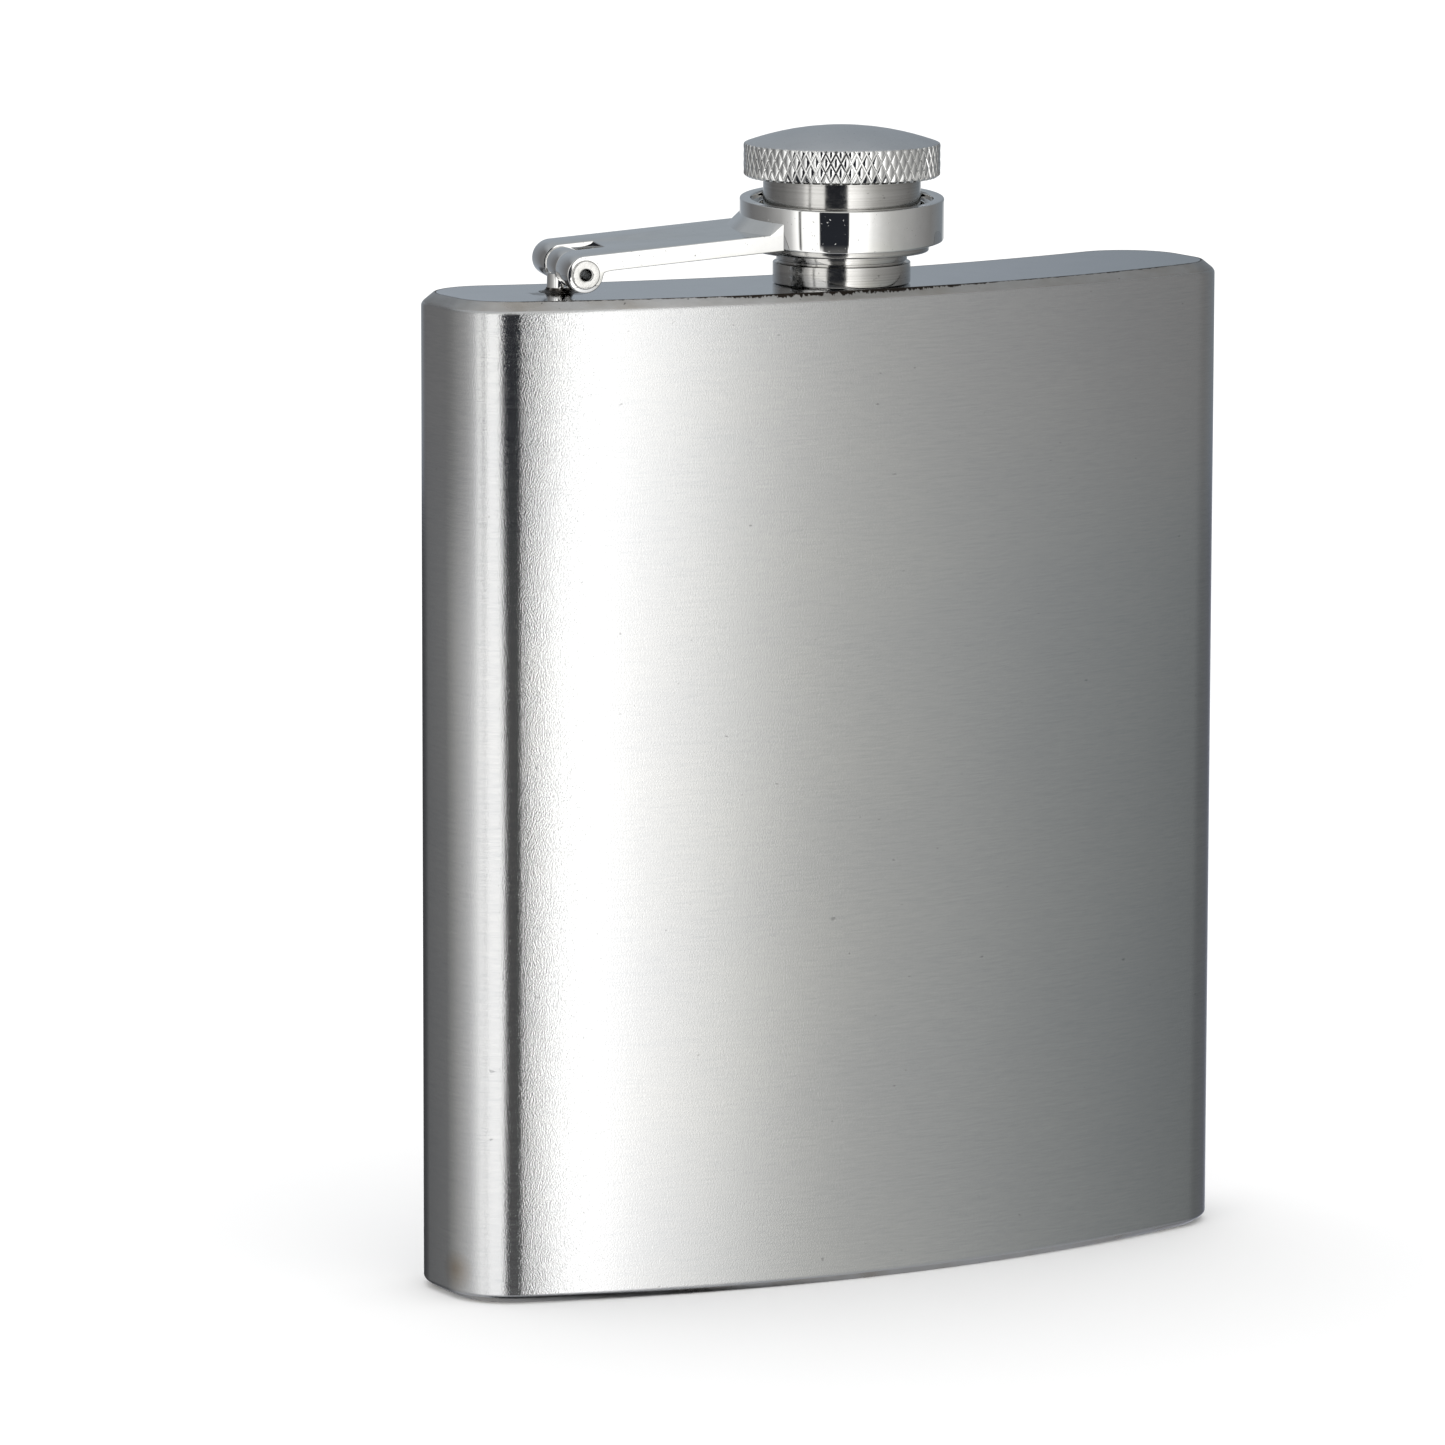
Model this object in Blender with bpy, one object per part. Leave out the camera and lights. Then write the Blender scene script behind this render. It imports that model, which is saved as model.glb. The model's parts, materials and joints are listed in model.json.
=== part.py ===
"""Curved pocket hip flask with a captive screw cap on a hinged arm.

Metres, +Z up. The origin is the middle of the base plate's underside. X runs across the width, with the
hinge towards -X. The belly of the flask faces -Y and its hollow back faces +Y.
"""

import math

import bmesh
import bpy
from mathutils import Matrix, Vector

MM = 0.001
SEAM_GAP = 0.3 * MM

# Body: two arcs bent the same way, joined by rounded ends.
BODY_WIDTH = 95.0 * MM
BODY_HEIGHT = 108.6 * MM
BODY_THICKNESS = 18.9 * MM
FRONT_SAGITTA = 8.0 * MM
BACK_SAGITTA = 9.2 * MM
END_RADIUS = 7.6 * MM
WALL = 0.7 * MM
PLATE_THICKNESS = 0.8 * MM
TOP_CHAMFER_DROP = 1.1 * MM
BASE_CHAMFER_DROP = 0.8 * MM
CHAMFER_INSET_MIDDLE = 0.45 * MM
CHAMFER_INSET_ENDS = 1.4 * MM
RIM_LAND = 0.15 * MM

# Neck: a turned tube standing through the top plate.
NECK_X = -2.0 * MM
NECK_Y = -1.25 * MM
NECK_BAND_RADIUS = 7.48 * MM
NECK_BAND_TOP = 2.4 * MM
NECK_COLLAR_RADIUS = 7.1 * MM
NECK_COLLAR_TOP = 3.4 * MM
NECK_THREAD_RADIUS = 6.85 * MM
NECK_TOP = 9.2 * MM
NECK_BORE = 5.9 * MM
NECK_SPIGOT_RADIUS = 6.45 * MM
NECK_SPIGOT_DEPTH = 1.6 * MM

# Arm: the hinge pin's middle, and how the pin leans. The ring sits on the neck's axis.
RING_REACH = 31.0 * MM
ARM_YAW = math.radians(-11.0)
ARM_ROLL = math.radians(2.7)
ARM_PITCH = math.radians(-0.7)
RING_RADIUS = 11.07 * MM
RING_BORE = 9.86 * MM
RING_FLANGE_BORE = 9.0 * MM
RING_BOTTOM = 1.63 * MM
RING_TOP = 6.22 * MM
FLANGE_BOTTOM = 4.49 * MM
FLANGE_TOP = 5.49 * MM
RING_CROSSING = 6.3 * MM
ARM_HALF_WIDTH = 6.7 * MM
ARM_THICKNESS = 1.88 * MM
ARM_SLOPE = math.radians(3.8)
SHOULDER_HEIGHT = 1.3 * MM
LUG_RADIUS = 2.0 * MM
SLOT_HALF_WIDTH = 2.2 * MM
SLOT_DEPTH = 3.5 * MM
HINGE_HEIGHT = 2.73 * MM

# Hinge post and its hollow rivet.
EYE_RADIUS = 1.9 * MM
EYE_HALF_WIDTH = 1.9 * MM
POST_OFFSET = -0.9 * MM
POST_RADIUS = 1.15 * MM
FOOT_RADIUS = 1.9 * MM
FOOT_HEIGHT = 0.35 * MM
RIVET_RADIUS = 1.05 * MM
RIVET_BORE = 0.6 * MM
RIVET_PLAY = 0.08 * MM
RIVET_HEAD_RADIUS = 1.55 * MM
RIVET_HEAD_THICKNESS = 0.3 * MM

# Cap, with heights above the top plate.
HEAD_RADIUS = 10.65 * MM
HEAD_BOTTOM = 11.55 * MM
HEAD_RIM = 15.2 * MM
DOME_TOP = 17.05 * MM
HEAD_EDGE = 0.2 * MM
HEAD_BORE = 8.84 * MM
HEAD_ROOF = 13.2 * MM
BOSS_RADIUS = 6.95 * MM
BOSS_BOTTOM = 11.2 * MM
SLEEVE_RADIUS = 8.54 * MM
SLEEVE_BORE = 8.0 * MM
SLEEVE_BOTTOM = 3.45 * MM
SLEEVE_TOP = 12.9 * MM
LIP_RADIUS = 9.5 * MM
LIP_TOP = 4.75 * MM
LIP_EDGE = 0.35 * MM
INSERT_RADIUS = 7.75 * MM
INSERT_BORE = 7.3 * MM
INSERT_BOTTOM = 7.0 * MM
WASHER_RADIUS = 6.95 * MM
WASHER_BOTTOM = 9.5 * MM
WASHER_TOP = 10.9 * MM

LONG_ARC_STEPS = 30
END_ARC_STEPS = 7
TURNED_STEPS = 52
SMALL_STEPS = 24


def clear_scene():
    for old in list(bpy.data.objects):
        bpy.data.objects.remove(old, do_unlink=True)


def metal(name, colour, roughness, metallic=1.0):
    """A Principled material of one finish."""
    material = bpy.data.materials.new(name)
    material.use_nodes = True
    shader = material.node_tree.nodes["Principled BSDF"]
    shader.inputs["Base Color"].default_value = (*colour, 1.0)
    shader.inputs["Roughness"].default_value = roughness
    shader.inputs["Metallic"].default_value = metallic
    return material


def object_of(name, mesh_data, material, parent=None):
    """A named object with one material, shaded smooth up to 30 degrees."""
    mesh = bpy.data.meshes.new(name)
    mesh_data.normal_update()
    mesh_data.to_mesh(mesh)
    mesh_data.free()
    mesh.shade_smooth()
    mesh.set_sharp_from_angle(angle=math.radians(30))
    made = bpy.data.objects.new(name, mesh)
    bpy.context.scene.collection.objects.link(made)
    if material:
        mesh.materials.append(material)
    made.parent = parent
    return made


def empty(name, location, matrix=None):
    """A pivot that moving pieces hang from."""
    made = bpy.data.objects.new(name, None)
    bpy.context.scene.collection.objects.link(made)
    made.matrix_world = Matrix.Translation(location) @ (matrix or Matrix.Identity(4))
    return made


def as_cutter(cutter):
    cutter.hide_render = True
    cutter.display_type = "WIRE"


def combine(target, other, operation):
    """An exact Boolean of another object into the target."""
    modifier = target.modifiers.new(operation.lower() + "_" + other.name, "BOOLEAN")
    modifier.operation = operation
    modifier.object = other
    modifier.solver = "EXACT"
    as_cutter(other)


def body_outline():
    """Points and outward normals round the body, anticlockwise from above."""
    half = BODY_WIDTH / 2
    front_radius = (half**2 + FRONT_SAGITTA**2) / (2 * FRONT_SAGITTA)
    back_radius = (half**2 + BACK_SAGITTA**2) / (2 * BACK_SAGITTA)
    front_centre = front_radius - BODY_THICKNESS / 2
    back_centre = back_radius + BODY_THICKNESS / 2
    corner_x = half - END_RADIUS
    front_corner_y = front_centre - math.sqrt((front_radius - END_RADIUS) ** 2 - corner_x**2)
    back_corner_y = back_centre - math.sqrt((back_radius + END_RADIUS) ** 2 - corner_x**2)
    front_end = math.asin(corner_x / (front_radius - END_RADIUS))
    back_end = math.asin(corner_x / (back_radius + END_RADIUS))

    found = []

    def arc(centre, radius, start, stop, steps, outward=1.0):
        for step in range(steps):
            angle = start + (stop - start) * step / steps
            direction = Vector((math.cos(angle), math.sin(angle)))
            found.append((Vector(centre) + radius * direction, outward * direction))

    down = -math.pi / 2
    arc((0, front_centre), front_radius, down - front_end, down + front_end, LONG_ARC_STEPS)
    arc((corner_x, front_corner_y), END_RADIUS, down + front_end, 0, END_ARC_STEPS)
    side = back_corner_y - front_corner_y
    if side > 0:
        found.append((Vector((half, front_corner_y)), Vector((1, 0))))
    arc((corner_x, back_corner_y), END_RADIUS, 0, math.pi / 2 + back_end, END_ARC_STEPS + 2)
    arc((0, back_centre), back_radius, down + back_end, down - back_end, LONG_ARC_STEPS, -1.0)
    arc((-corner_x, back_corner_y), END_RADIUS, math.pi / 2 - back_end, math.pi, END_ARC_STEPS + 2)
    if side > 0:
        found.append((Vector((-half, back_corner_y)), Vector((-1, 0))))
    arc((-corner_x, front_corner_y), END_RADIUS, math.pi, math.pi * 1.5 - front_end, END_ARC_STEPS)
    return found


def chamfer_inset(x):
    """The ground edge is narrow across the middle and wider round the ends."""
    share = (abs(x) / (BODY_WIDTH / 2)) ** 2.5
    return CHAMFER_INSET_MIDDLE + (CHAMFER_INSET_ENDS - CHAMFER_INSET_MIDDLE) * share


def outline_loop(shape, inset, height):
    """A closed loop of vertices round the body; inset is a number or a function of x."""
    loop = []
    for point, normal in body_outline():
        depth = inset(point.x) if callable(inset) else inset
        place = point - depth * normal
        loop.append(shape.verts.new((place.x, place.y, height)))
    return loop


def bridge(shape, lower, upper):
    """Quads between two loops of the same length, facing out when upper is above lower."""
    count = len(lower)
    for here in range(count):
        there = (here + 1) % count
        shape.faces.new((lower[here], lower[there], upper[there], upper[here]))


def land_inset(x):
    """How far in from the outline the rim's flat land ends."""
    return chamfer_inset(x) + RIM_LAND


def weld_inset(x):
    """How far in from the outline the sheet and its weld reach, behind a chamfer."""
    return max(WALL, land_inset(x))


def plate_inset(x):
    """How far in from the outline an end plate starts."""
    return land_inset(x) + SEAM_GAP


def body_shell(material):
    """An open tube of sheet, with a ground chamfer on a thickened weld at each rim."""
    shape = bmesh.new()
    top = BODY_HEIGHT
    rings = [
        outline_loop(shape, chamfer_inset, 0),
        outline_loop(shape, 0, BASE_CHAMFER_DROP),
        outline_loop(shape, 0, top - TOP_CHAMFER_DROP),
        outline_loop(shape, chamfer_inset, top),
        outline_loop(shape, land_inset, top),
        outline_loop(shape, weld_inset, top - TOP_CHAMFER_DROP),
        outline_loop(shape, WALL, top - 2 * TOP_CHAMFER_DROP),
        outline_loop(shape, WALL, 2 * BASE_CHAMFER_DROP),
        outline_loop(shape, weld_inset, BASE_CHAMFER_DROP),
        outline_loop(shape, land_inset, 0),
    ]
    for lower, upper in zip(rings, rings[1:] + rings[:1]):
        bridge(shape, lower, upper)
    return object_of("body_shell", shape, material)


def plate(name, bottom, top, material):
    """A flat plate that fills a rim of the shell."""
    shape = bmesh.new()
    lower = outline_loop(shape, plate_inset, bottom)
    upper = outline_loop(shape, plate_inset, top)
    bridge(shape, lower, upper)
    shape.faces.new(upper)
    shape.faces.new(list(reversed(lower)))
    return object_of(name, shape, material)


def turned(name, profile, material, parent=None, steps=TURNED_STEPS):
    """Turns a closed (radius, height) profile round Z. It runs down the outside and up the inside."""
    shape = bmesh.new()
    loops = []
    for radius, height in profile:
        if radius <= 1e-9:
            loops.append([shape.verts.new((0, 0, height))])
            continue
        ring = []
        for step in range(steps):
            angle = 2 * math.pi * step / steps
            ring.append(shape.verts.new((radius * math.cos(angle), radius * math.sin(angle), height)))
        loops.append(ring)
    for upper, lower in zip(loops, loops[1:] + loops[:1]):
        if len(upper) == 1 and len(lower) == 1:
            continue
        for here in range(steps):
            there = (here + 1) % steps
            if len(upper) == 1:
                shape.faces.new((upper[0], lower[here], lower[there]))
            elif len(lower) == 1:
                shape.faces.new((upper[there], upper[here], lower[0]))
            else:
                shape.faces.new((lower[here], lower[there], upper[there], upper[here]))
    return object_of(name, shape, material, parent)


def neck(material, parent):
    return turned(
        "neck",
        [
            (NECK_THREAD_RADIUS - 0.4 * MM, NECK_TOP),
            (NECK_THREAD_RADIUS, NECK_TOP - 0.4 * MM),
            (NECK_THREAD_RADIUS, NECK_COLLAR_TOP),
            (NECK_COLLAR_RADIUS, NECK_COLLAR_TOP),
            (NECK_COLLAR_RADIUS, NECK_BAND_TOP),
            (NECK_BAND_RADIUS, NECK_BAND_TOP),
            (NECK_BAND_RADIUS, SEAM_GAP),
            (NECK_SPIGOT_RADIUS, SEAM_GAP),
            (NECK_SPIGOT_RADIUS, -NECK_SPIGOT_DEPTH),
            (NECK_BORE, -NECK_SPIGOT_DEPTH),
            (NECK_BORE, NECK_TOP),
        ],
        material,
        parent,
    )


def top_plate(material, neck_axis):
    made = plate("top_plate", BODY_HEIGHT - PLATE_THICKNESS, BODY_HEIGHT, material)
    reach = 2 * MM
    hole = NECK_SPIGOT_RADIUS + SEAM_GAP
    cutter = turned(
        "neck_hole_cutter", [(0, reach), (hole, reach), (hole, -reach), (0, -reach)], None, neck_axis
    )
    combine(made, cutter, "DIFFERENCE")
    return made


def barrel(name, radius, start, stop, material, parent):
    """A cylinder along the hinge pin, whose axis is the pivot's Y."""
    profile = [(0, stop), (radius, stop), (radius, start), (0, start)]
    made = turned(name, profile, material, None, SMALL_STEPS)
    made.data.transform(Matrix.Rotation(-math.pi / 2, 4, "X"))
    made.parent = parent
    return made


def box(name, low, high, parent):
    """A plain block, used to trim other shapes."""
    shape = bmesh.new()
    bmesh.ops.create_cube(shape, size=1.0)
    middle = (Vector(low) + Vector(high)) / 2
    size = Vector(high) - Vector(low)
    for corner in shape.verts:
        corner.co = Vector((corner.co.x * size.x, corner.co.y * size.y, corner.co.z * size.z)) + middle
    return object_of(name, shape, None, parent)


def arm_top(x):
    """Height of the arm's upper face above the pin at a distance x towards the ring."""
    return LUG_RADIUS / math.cos(ARM_SLOPE) + x * math.tan(ARM_SLOPE)


def arm_blade(parent):
    """The sloping flat bar, made too wide and too long, for trimming."""
    shape = bmesh.new()
    side = ARM_HALF_WIDTH + 1 * MM
    section = [
        (0.0, arm_top(0.0)),
        (0.0, arm_top(0.0) - ARM_THICKNESS),
        (RING_REACH, arm_top(RING_REACH) - ARM_THICKNESS),
        (RING_REACH, arm_top(RING_REACH)),
    ]
    near = [shape.verts.new((x, -side, z)) for x, z in section]
    far = [shape.verts.new((x, side, z)) for x, z in section]
    bridge(shape, near, far)
    shape.faces.new(list(reversed(near)))
    shape.faces.new(far)
    bmesh.ops.recalc_face_normals(shape, faces=shape.faces)
    return object_of("arm_blade_form", shape, None, parent)


def round_the_ring(name, profile, parent, material=None):
    """Turns a profile about the ring's own axis."""
    made = turned(name, profile, material)
    made.data.transform(Matrix.Translation((RING_REACH, 0, 0)))
    made.parent = parent
    return made


def retaining_arm(material, parent):
    """Ring, shoulder, bar and forked hinge end, made as one casting."""
    ring = round_the_ring(
        "retaining_arm",
        [
            (RING_BORE + 0.15 * MM, RING_TOP),
            (RING_RADIUS - 0.25 * MM, RING_TOP),
            (RING_RADIUS, RING_TOP - 0.25 * MM),
            (RING_RADIUS, RING_BOTTOM + 0.2 * MM),
            (RING_RADIUS - 0.2 * MM, RING_BOTTOM),
            (RING_BORE, RING_BOTTOM),
            (RING_BORE, FLANGE_BOTTOM),
            (RING_FLANGE_BORE, FLANGE_BOTTOM),
            (RING_FLANGE_BORE, FLANGE_TOP),
            (RING_BORE, FLANGE_TOP),
            (RING_BORE, RING_TOP - 0.15 * MM),
        ],
        parent,
        material,
    )

    blade = arm_blade(parent)
    reach = ARM_HALF_WIDTH + 1 * MM
    lugs = barrel("hinge_lugs_form", LUG_RADIUS, -reach, reach, None, parent)
    combine(blade, lugs, "UNION")

    buried = 0.5 * MM
    low = arm_top(RING_REACH - RING_RADIUS - SHOULDER_HEIGHT) - buried
    high = low + SHOULDER_HEIGHT + buried
    shoulder = round_the_ring(
        "arm_shoulder_form",
        [
            (0, high + buried),
            (RING_RADIUS - buried, high + buried),
            (RING_RADIUS + SHOULDER_HEIGHT + buried, low),
            (0, low),
        ],
        parent,
    )
    combine(blade, shoulder, "UNION")
    sides = box(
        "arm_sides_form",
        (-5 * MM, -ARM_HALF_WIDTH, -5 * MM),
        (RING_REACH - 5 * MM, ARM_HALF_WIDTH, 10 * MM),
        parent,
    )
    combine(blade, sides, "INTERSECT")
    wall_middle = (RING_BORE + RING_RADIUS) / 2
    hollow = round_the_ring(
        "arm_end_cutter",
        [(0, 12 * MM), (wall_middle, 12 * MM), (wall_middle, -6 * MM), (0, -6 * MM)],
        parent,
    )
    combine(blade, hollow, "DIFFERENCE")
    combine(ring, blade, "UNION")

    slot = box(
        "hinge_slot_cutter",
        (-3 * MM, -SLOT_HALF_WIDTH, -4 * MM),
        (SLOT_DEPTH, SLOT_HALF_WIDTH, 4 * MM),
        parent,
    )
    combine(ring, slot, "DIFFERENCE")
    pin_hole = barrel("lug_hole_cutter", RIVET_RADIUS + RIVET_PLAY, -reach, reach, None, parent)
    combine(ring, pin_hole, "DIFFERENCE")
    return ring


def hinge_post(material, parent):
    """A stud welded to the top plate, with an eye for the rivet."""
    eye = barrel("hinge_post", EYE_RADIUS, -EYE_HALF_WIDTH, EYE_HALF_WIDTH, material, parent)
    stud_top = -EYE_RADIUS * 0.35
    foot = -HINGE_HEIGHT + SEAM_GAP
    stud = turned(
        "hinge_stud_form",
        [
            (0, stud_top),
            (POST_RADIUS, stud_top),
            (POST_RADIUS, foot + FOOT_HEIGHT),
            (FOOT_RADIUS, foot),
            (0, foot),
        ],
        None,
        None,
        SMALL_STEPS,
    )
    upright = parent.matrix_world.to_3x3().inverted().to_4x4()
    stud.data.transform(Matrix.Translation((POST_OFFSET, 0, 0)) @ upright)
    stud.parent = parent
    combine(eye, stud, "UNION")
    reach = EYE_HALF_WIDTH + 1 * MM
    hole = barrel("eye_hole_cutter", RIVET_RADIUS + RIVET_PLAY, -reach, reach, None, parent)
    combine(eye, hole, "DIFFERENCE")
    return eye


def hinge_rivet(material, parent):
    """A tubular rivet, spread at both ends over the lugs."""
    face = ARM_HALF_WIDTH + RIVET_PLAY
    end = face + RIVET_HEAD_THICKNESS
    made = turned(
        "hinge_rivet",
        [
            (RIVET_BORE, end),
            (RIVET_HEAD_RADIUS - 0.15 * MM, end),
            (RIVET_HEAD_RADIUS, face + 0.1 * MM),
            (RIVET_HEAD_RADIUS, face),
            (RIVET_RADIUS, face),
            (RIVET_RADIUS, -face),
            (RIVET_HEAD_RADIUS, -face),
            (RIVET_HEAD_RADIUS, -face - 0.1 * MM),
            (RIVET_HEAD_RADIUS - 0.15 * MM, -end),
            (RIVET_BORE, -end),
        ],
        material,
        None,
        SMALL_STEPS,
    )
    made.data.transform(Matrix.Rotation(-math.pi / 2, 4, "X"))
    made.parent = parent
    return made


def cap_head(material, parent):
    """The knurled grip with its shallow dome, bored to take the sleeve."""
    dome_rise = DOME_TOP - HEAD_RIM
    dome_reach = HEAD_RADIUS - HEAD_EDGE
    dome_radius = (dome_reach**2 + dome_rise**2) / (2 * dome_rise)
    profile = [(0, DOME_TOP)]
    steps = 7
    for step in range(1, steps + 1):
        radius = dome_reach * step / steps
        drop = dome_radius - math.sqrt(dome_radius**2 - radius**2)
        profile.append((radius, DOME_TOP - drop))
    profile += [
        (HEAD_RADIUS, HEAD_RIM - HEAD_EDGE),
        (HEAD_RADIUS, HEAD_BOTTOM + HEAD_EDGE),
        (HEAD_RADIUS - HEAD_EDGE, HEAD_BOTTOM),
        (HEAD_BORE, HEAD_BOTTOM),
        (HEAD_BORE, HEAD_ROOF),
        (BOSS_RADIUS, HEAD_ROOF),
        (BOSS_RADIUS, BOSS_BOTTOM),
        (0, BOSS_BOTTOM),
    ]
    return turned("cap_head", profile, material, parent)


def cap_sleeve(material, parent):
    """The plain tube that the ring rides on, with the rolled lip that keeps the ring on it."""
    return turned(
        "cap_sleeve",
        [
            (SLEEVE_BORE, SLEEVE_TOP),
            (SLEEVE_RADIUS, SLEEVE_TOP),
            (SLEEVE_RADIUS, LIP_TOP),
            (LIP_RADIUS - 0.1 * MM, LIP_TOP),
            (LIP_RADIUS, LIP_TOP - 0.15 * MM),
            (LIP_RADIUS, SLEEVE_BOTTOM + LIP_EDGE),
            (LIP_RADIUS - LIP_EDGE, SLEEVE_BOTTOM),
            (SLEEVE_BORE + 0.15 * MM, SLEEVE_BOTTOM),
            (SLEEVE_BORE, SLEEVE_BOTTOM + 0.15 * MM),
        ],
        material,
        parent,
    )


def thread_insert(material, parent):
    """The threaded liner inside the sleeve, drawn at its thread's crest."""
    return turned(
        "thread_insert",
        [
            (INSERT_BORE, SLEEVE_TOP),
            (INSERT_RADIUS, SLEEVE_TOP),
            (INSERT_RADIUS, INSERT_BOTTOM),
            (INSERT_BORE, INSERT_BOTTOM),
        ],
        material,
        parent,
    )


def sealing_washer(material, parent):
    return turned(
        "sealing_washer",
        [
            (0, WASHER_TOP),
            (WASHER_RADIUS, WASHER_TOP),
            (WASHER_RADIUS, WASHER_BOTTOM),
            (0, WASHER_BOTTOM),
        ],
        material,
        parent,
    )


def arm_orientation():
    """Turns the pivot's X towards the ring, and leans its Y, the pin, up at the back."""
    yaw = Matrix.Rotation(ARM_YAW, 4, "Z")
    roll = Matrix.Rotation(ARM_ROLL, 4, "X")
    pitch = Matrix.Rotation(ARM_PITCH, 4, "Y")
    return yaw @ roll @ pitch


def hinge_middle():
    """The pin's middle, placed so that the ring's axis crosses the neck's at one height."""
    turn = arm_orientation()
    crossing = Vector((NECK_X, NECK_Y, BODY_HEIGHT + RING_CROSSING))
    reach = turn @ Vector((RING_REACH, 0, 0))
    axis = turn @ Vector((0, 0, 1))
    level = RING_CROSSING - HINGE_HEIGHT - reach.z
    return crossing - reach - axis * (level / axis.z)


def main():
    clear_scene()
    brushed = metal("brushed_steel", (0.62, 0.62, 0.62), 0.3)
    polished = metal("polished_steel", (0.6, 0.62, 0.65), 0.08)
    turned_steel = metal("turned_steel", (0.58, 0.57, 0.56), 0.18)
    plated = metal("plated_zinc", (0.68, 0.68, 0.69), 0.06)
    satin = metal("satin_cap", (0.5, 0.52, 0.54), 0.32)
    rubber = metal("silicone", (0.75, 0.75, 0.72), 0.6, 0.0)

    neck_axis = empty("neck_axis", (NECK_X, NECK_Y, BODY_HEIGHT))
    arm_pivot = empty("arm_pivot", hinge_middle(), arm_orientation())
    bpy.context.view_layer.update()

    body_shell(brushed)
    plate("bottom_plate", 0, PLATE_THICKNESS, brushed)
    top_plate(polished, neck_axis)
    neck(turned_steel, neck_axis)
    hinge_post(plated, arm_pivot)
    hinge_rivet(plated, arm_pivot)
    retaining_arm(plated, arm_pivot)
    cap_head(satin, neck_axis)
    cap_sleeve(turned_steel, neck_axis)
    thread_insert(turned_steel, neck_axis)
    sealing_washer(rubber, neck_axis)


main()
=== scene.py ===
"""Curved pocket hip flask in brushed steel, with a captive screw cap on a hinged arm.

Metres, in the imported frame. The belly faces -Y, the hinge is at -X and +Z is up.
"""

import json
import math
import bmesh
import bpy
from mathutils import Matrix, Vector, noise


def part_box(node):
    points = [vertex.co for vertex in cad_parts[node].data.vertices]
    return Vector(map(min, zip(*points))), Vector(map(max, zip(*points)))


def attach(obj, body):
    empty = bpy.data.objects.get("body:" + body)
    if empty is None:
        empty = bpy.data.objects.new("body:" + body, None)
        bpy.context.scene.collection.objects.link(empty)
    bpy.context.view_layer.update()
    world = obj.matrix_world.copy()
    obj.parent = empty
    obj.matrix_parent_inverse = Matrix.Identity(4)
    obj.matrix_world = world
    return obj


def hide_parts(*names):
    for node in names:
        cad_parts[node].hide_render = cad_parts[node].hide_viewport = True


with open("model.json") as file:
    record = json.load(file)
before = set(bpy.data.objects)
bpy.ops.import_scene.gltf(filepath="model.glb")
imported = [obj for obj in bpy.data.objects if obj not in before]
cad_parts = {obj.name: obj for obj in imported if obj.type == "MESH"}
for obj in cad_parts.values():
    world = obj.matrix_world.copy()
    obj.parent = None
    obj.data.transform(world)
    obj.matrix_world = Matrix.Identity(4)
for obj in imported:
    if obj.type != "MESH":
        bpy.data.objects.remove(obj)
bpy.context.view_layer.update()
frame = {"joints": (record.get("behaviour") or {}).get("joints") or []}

MM = 0.001
QUARTER_TURN = 0.25  # as the shader counts it, in whole turns

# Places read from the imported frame.
SHELL_LOW, SHELL_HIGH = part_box("body_shell")
NECK_LOW, NECK_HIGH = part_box("neck")
TOP = SHELL_HIGH.z
AXIS_X = (NECK_LOW.x + NECK_HIGH.x) / 2
AXIS_Y = (NECK_LOW.y + NECK_HIGH.y) / 2
SWING = next(j for j in frame["joints"] if j["name"] == "arm_swing")
PIN_PLACE = Vector(SWING["pos_m"])
PIN_AXIS = -Vector(SWING["axis"]).normalized()

# Body.
WIDTH = 95.0 * MM
THICKNESS = 18.9 * MM
FRONT_SAGITTA = 8.0 * MM
BACK_SAGITTA = 9.2 * MM
END_RADIUS = 7.6 * MM
WALL = 0.7 * MM
TOP_DROP = 1.1 * MM
BASE_DROP = 0.8 * MM
INSET_MIDDLE = 0.45 * MM
INSET_ENDS = 1.4 * MM
LAND = 0.15 * MM
PLATE_SHEET = 0.8 * MM
PLATE_BED = 0.5 * MM
PLATE_SUNK = 0.01 * MM
NECK_HOLE = 6.6 * MM
HEAT_SPOT = (-47.2 * MM, 2.6 * MM, 3.4 * MM)

# Neck, above the top plate.
BAND_RADIUS = 7.48 * MM
BAND_TOP = 2.4 * MM
COLLAR_RADIUS = 7.1 * MM
COLLAR_TOP = 3.4 * MM
NECK_TOP = 9.2 * MM
NECK_BORE = 5.9 * MM
THREAD_CREST = 6.85 * MM
THREAD_ROOT = 6.3 * MM
THREAD_PITCH = 1.1 * MM

# Arm, in its own frame: X towards the ring, Y along the pin, origin on the pin.
RING_REACH = 31.0 * MM
RING_RADIUS = 11.07 * MM
RING_BORE = 9.86 * MM
FLANGE_BORE = 9.0 * MM
RING_BOTTOM = 1.63 * MM
RING_TOP = 6.22 * MM
FLANGE_BOTTOM = 4.49 * MM
FLANGE_TOP = 5.49 * MM
ARM_HALF_WIDTH = 6.7 * MM
ARM_THICKNESS = 1.88 * MM
ARM_SLOPE = math.radians(3.8)
SHOULDER = 1.3 * MM
LUG_RADIUS = 2.0 * MM
SLOT_HALF_WIDTH = 2.2 * MM
SLOT_DEPTH = 3.5 * MM
PIN_HOLE = 1.13 * MM
BAR_END_TO_AXIS = 7.6 * MM
CHEEK_SOFTENING = 0.12 * MM

# Hinge: the eye and stud that are welded on, and the tubular rivet.
EYE_RADIUS = 1.9 * MM
EYE_HALF_WIDTH = 1.95 * MM
STUD_OFFSET = -0.9 * MM
WELD_HEIGHT = 0.42 * MM
RIVET_BORE = 0.62 * MM
RIVET_SHANK = 1.1 * MM
RIVET_ROLL = 1.6 * MM

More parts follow.
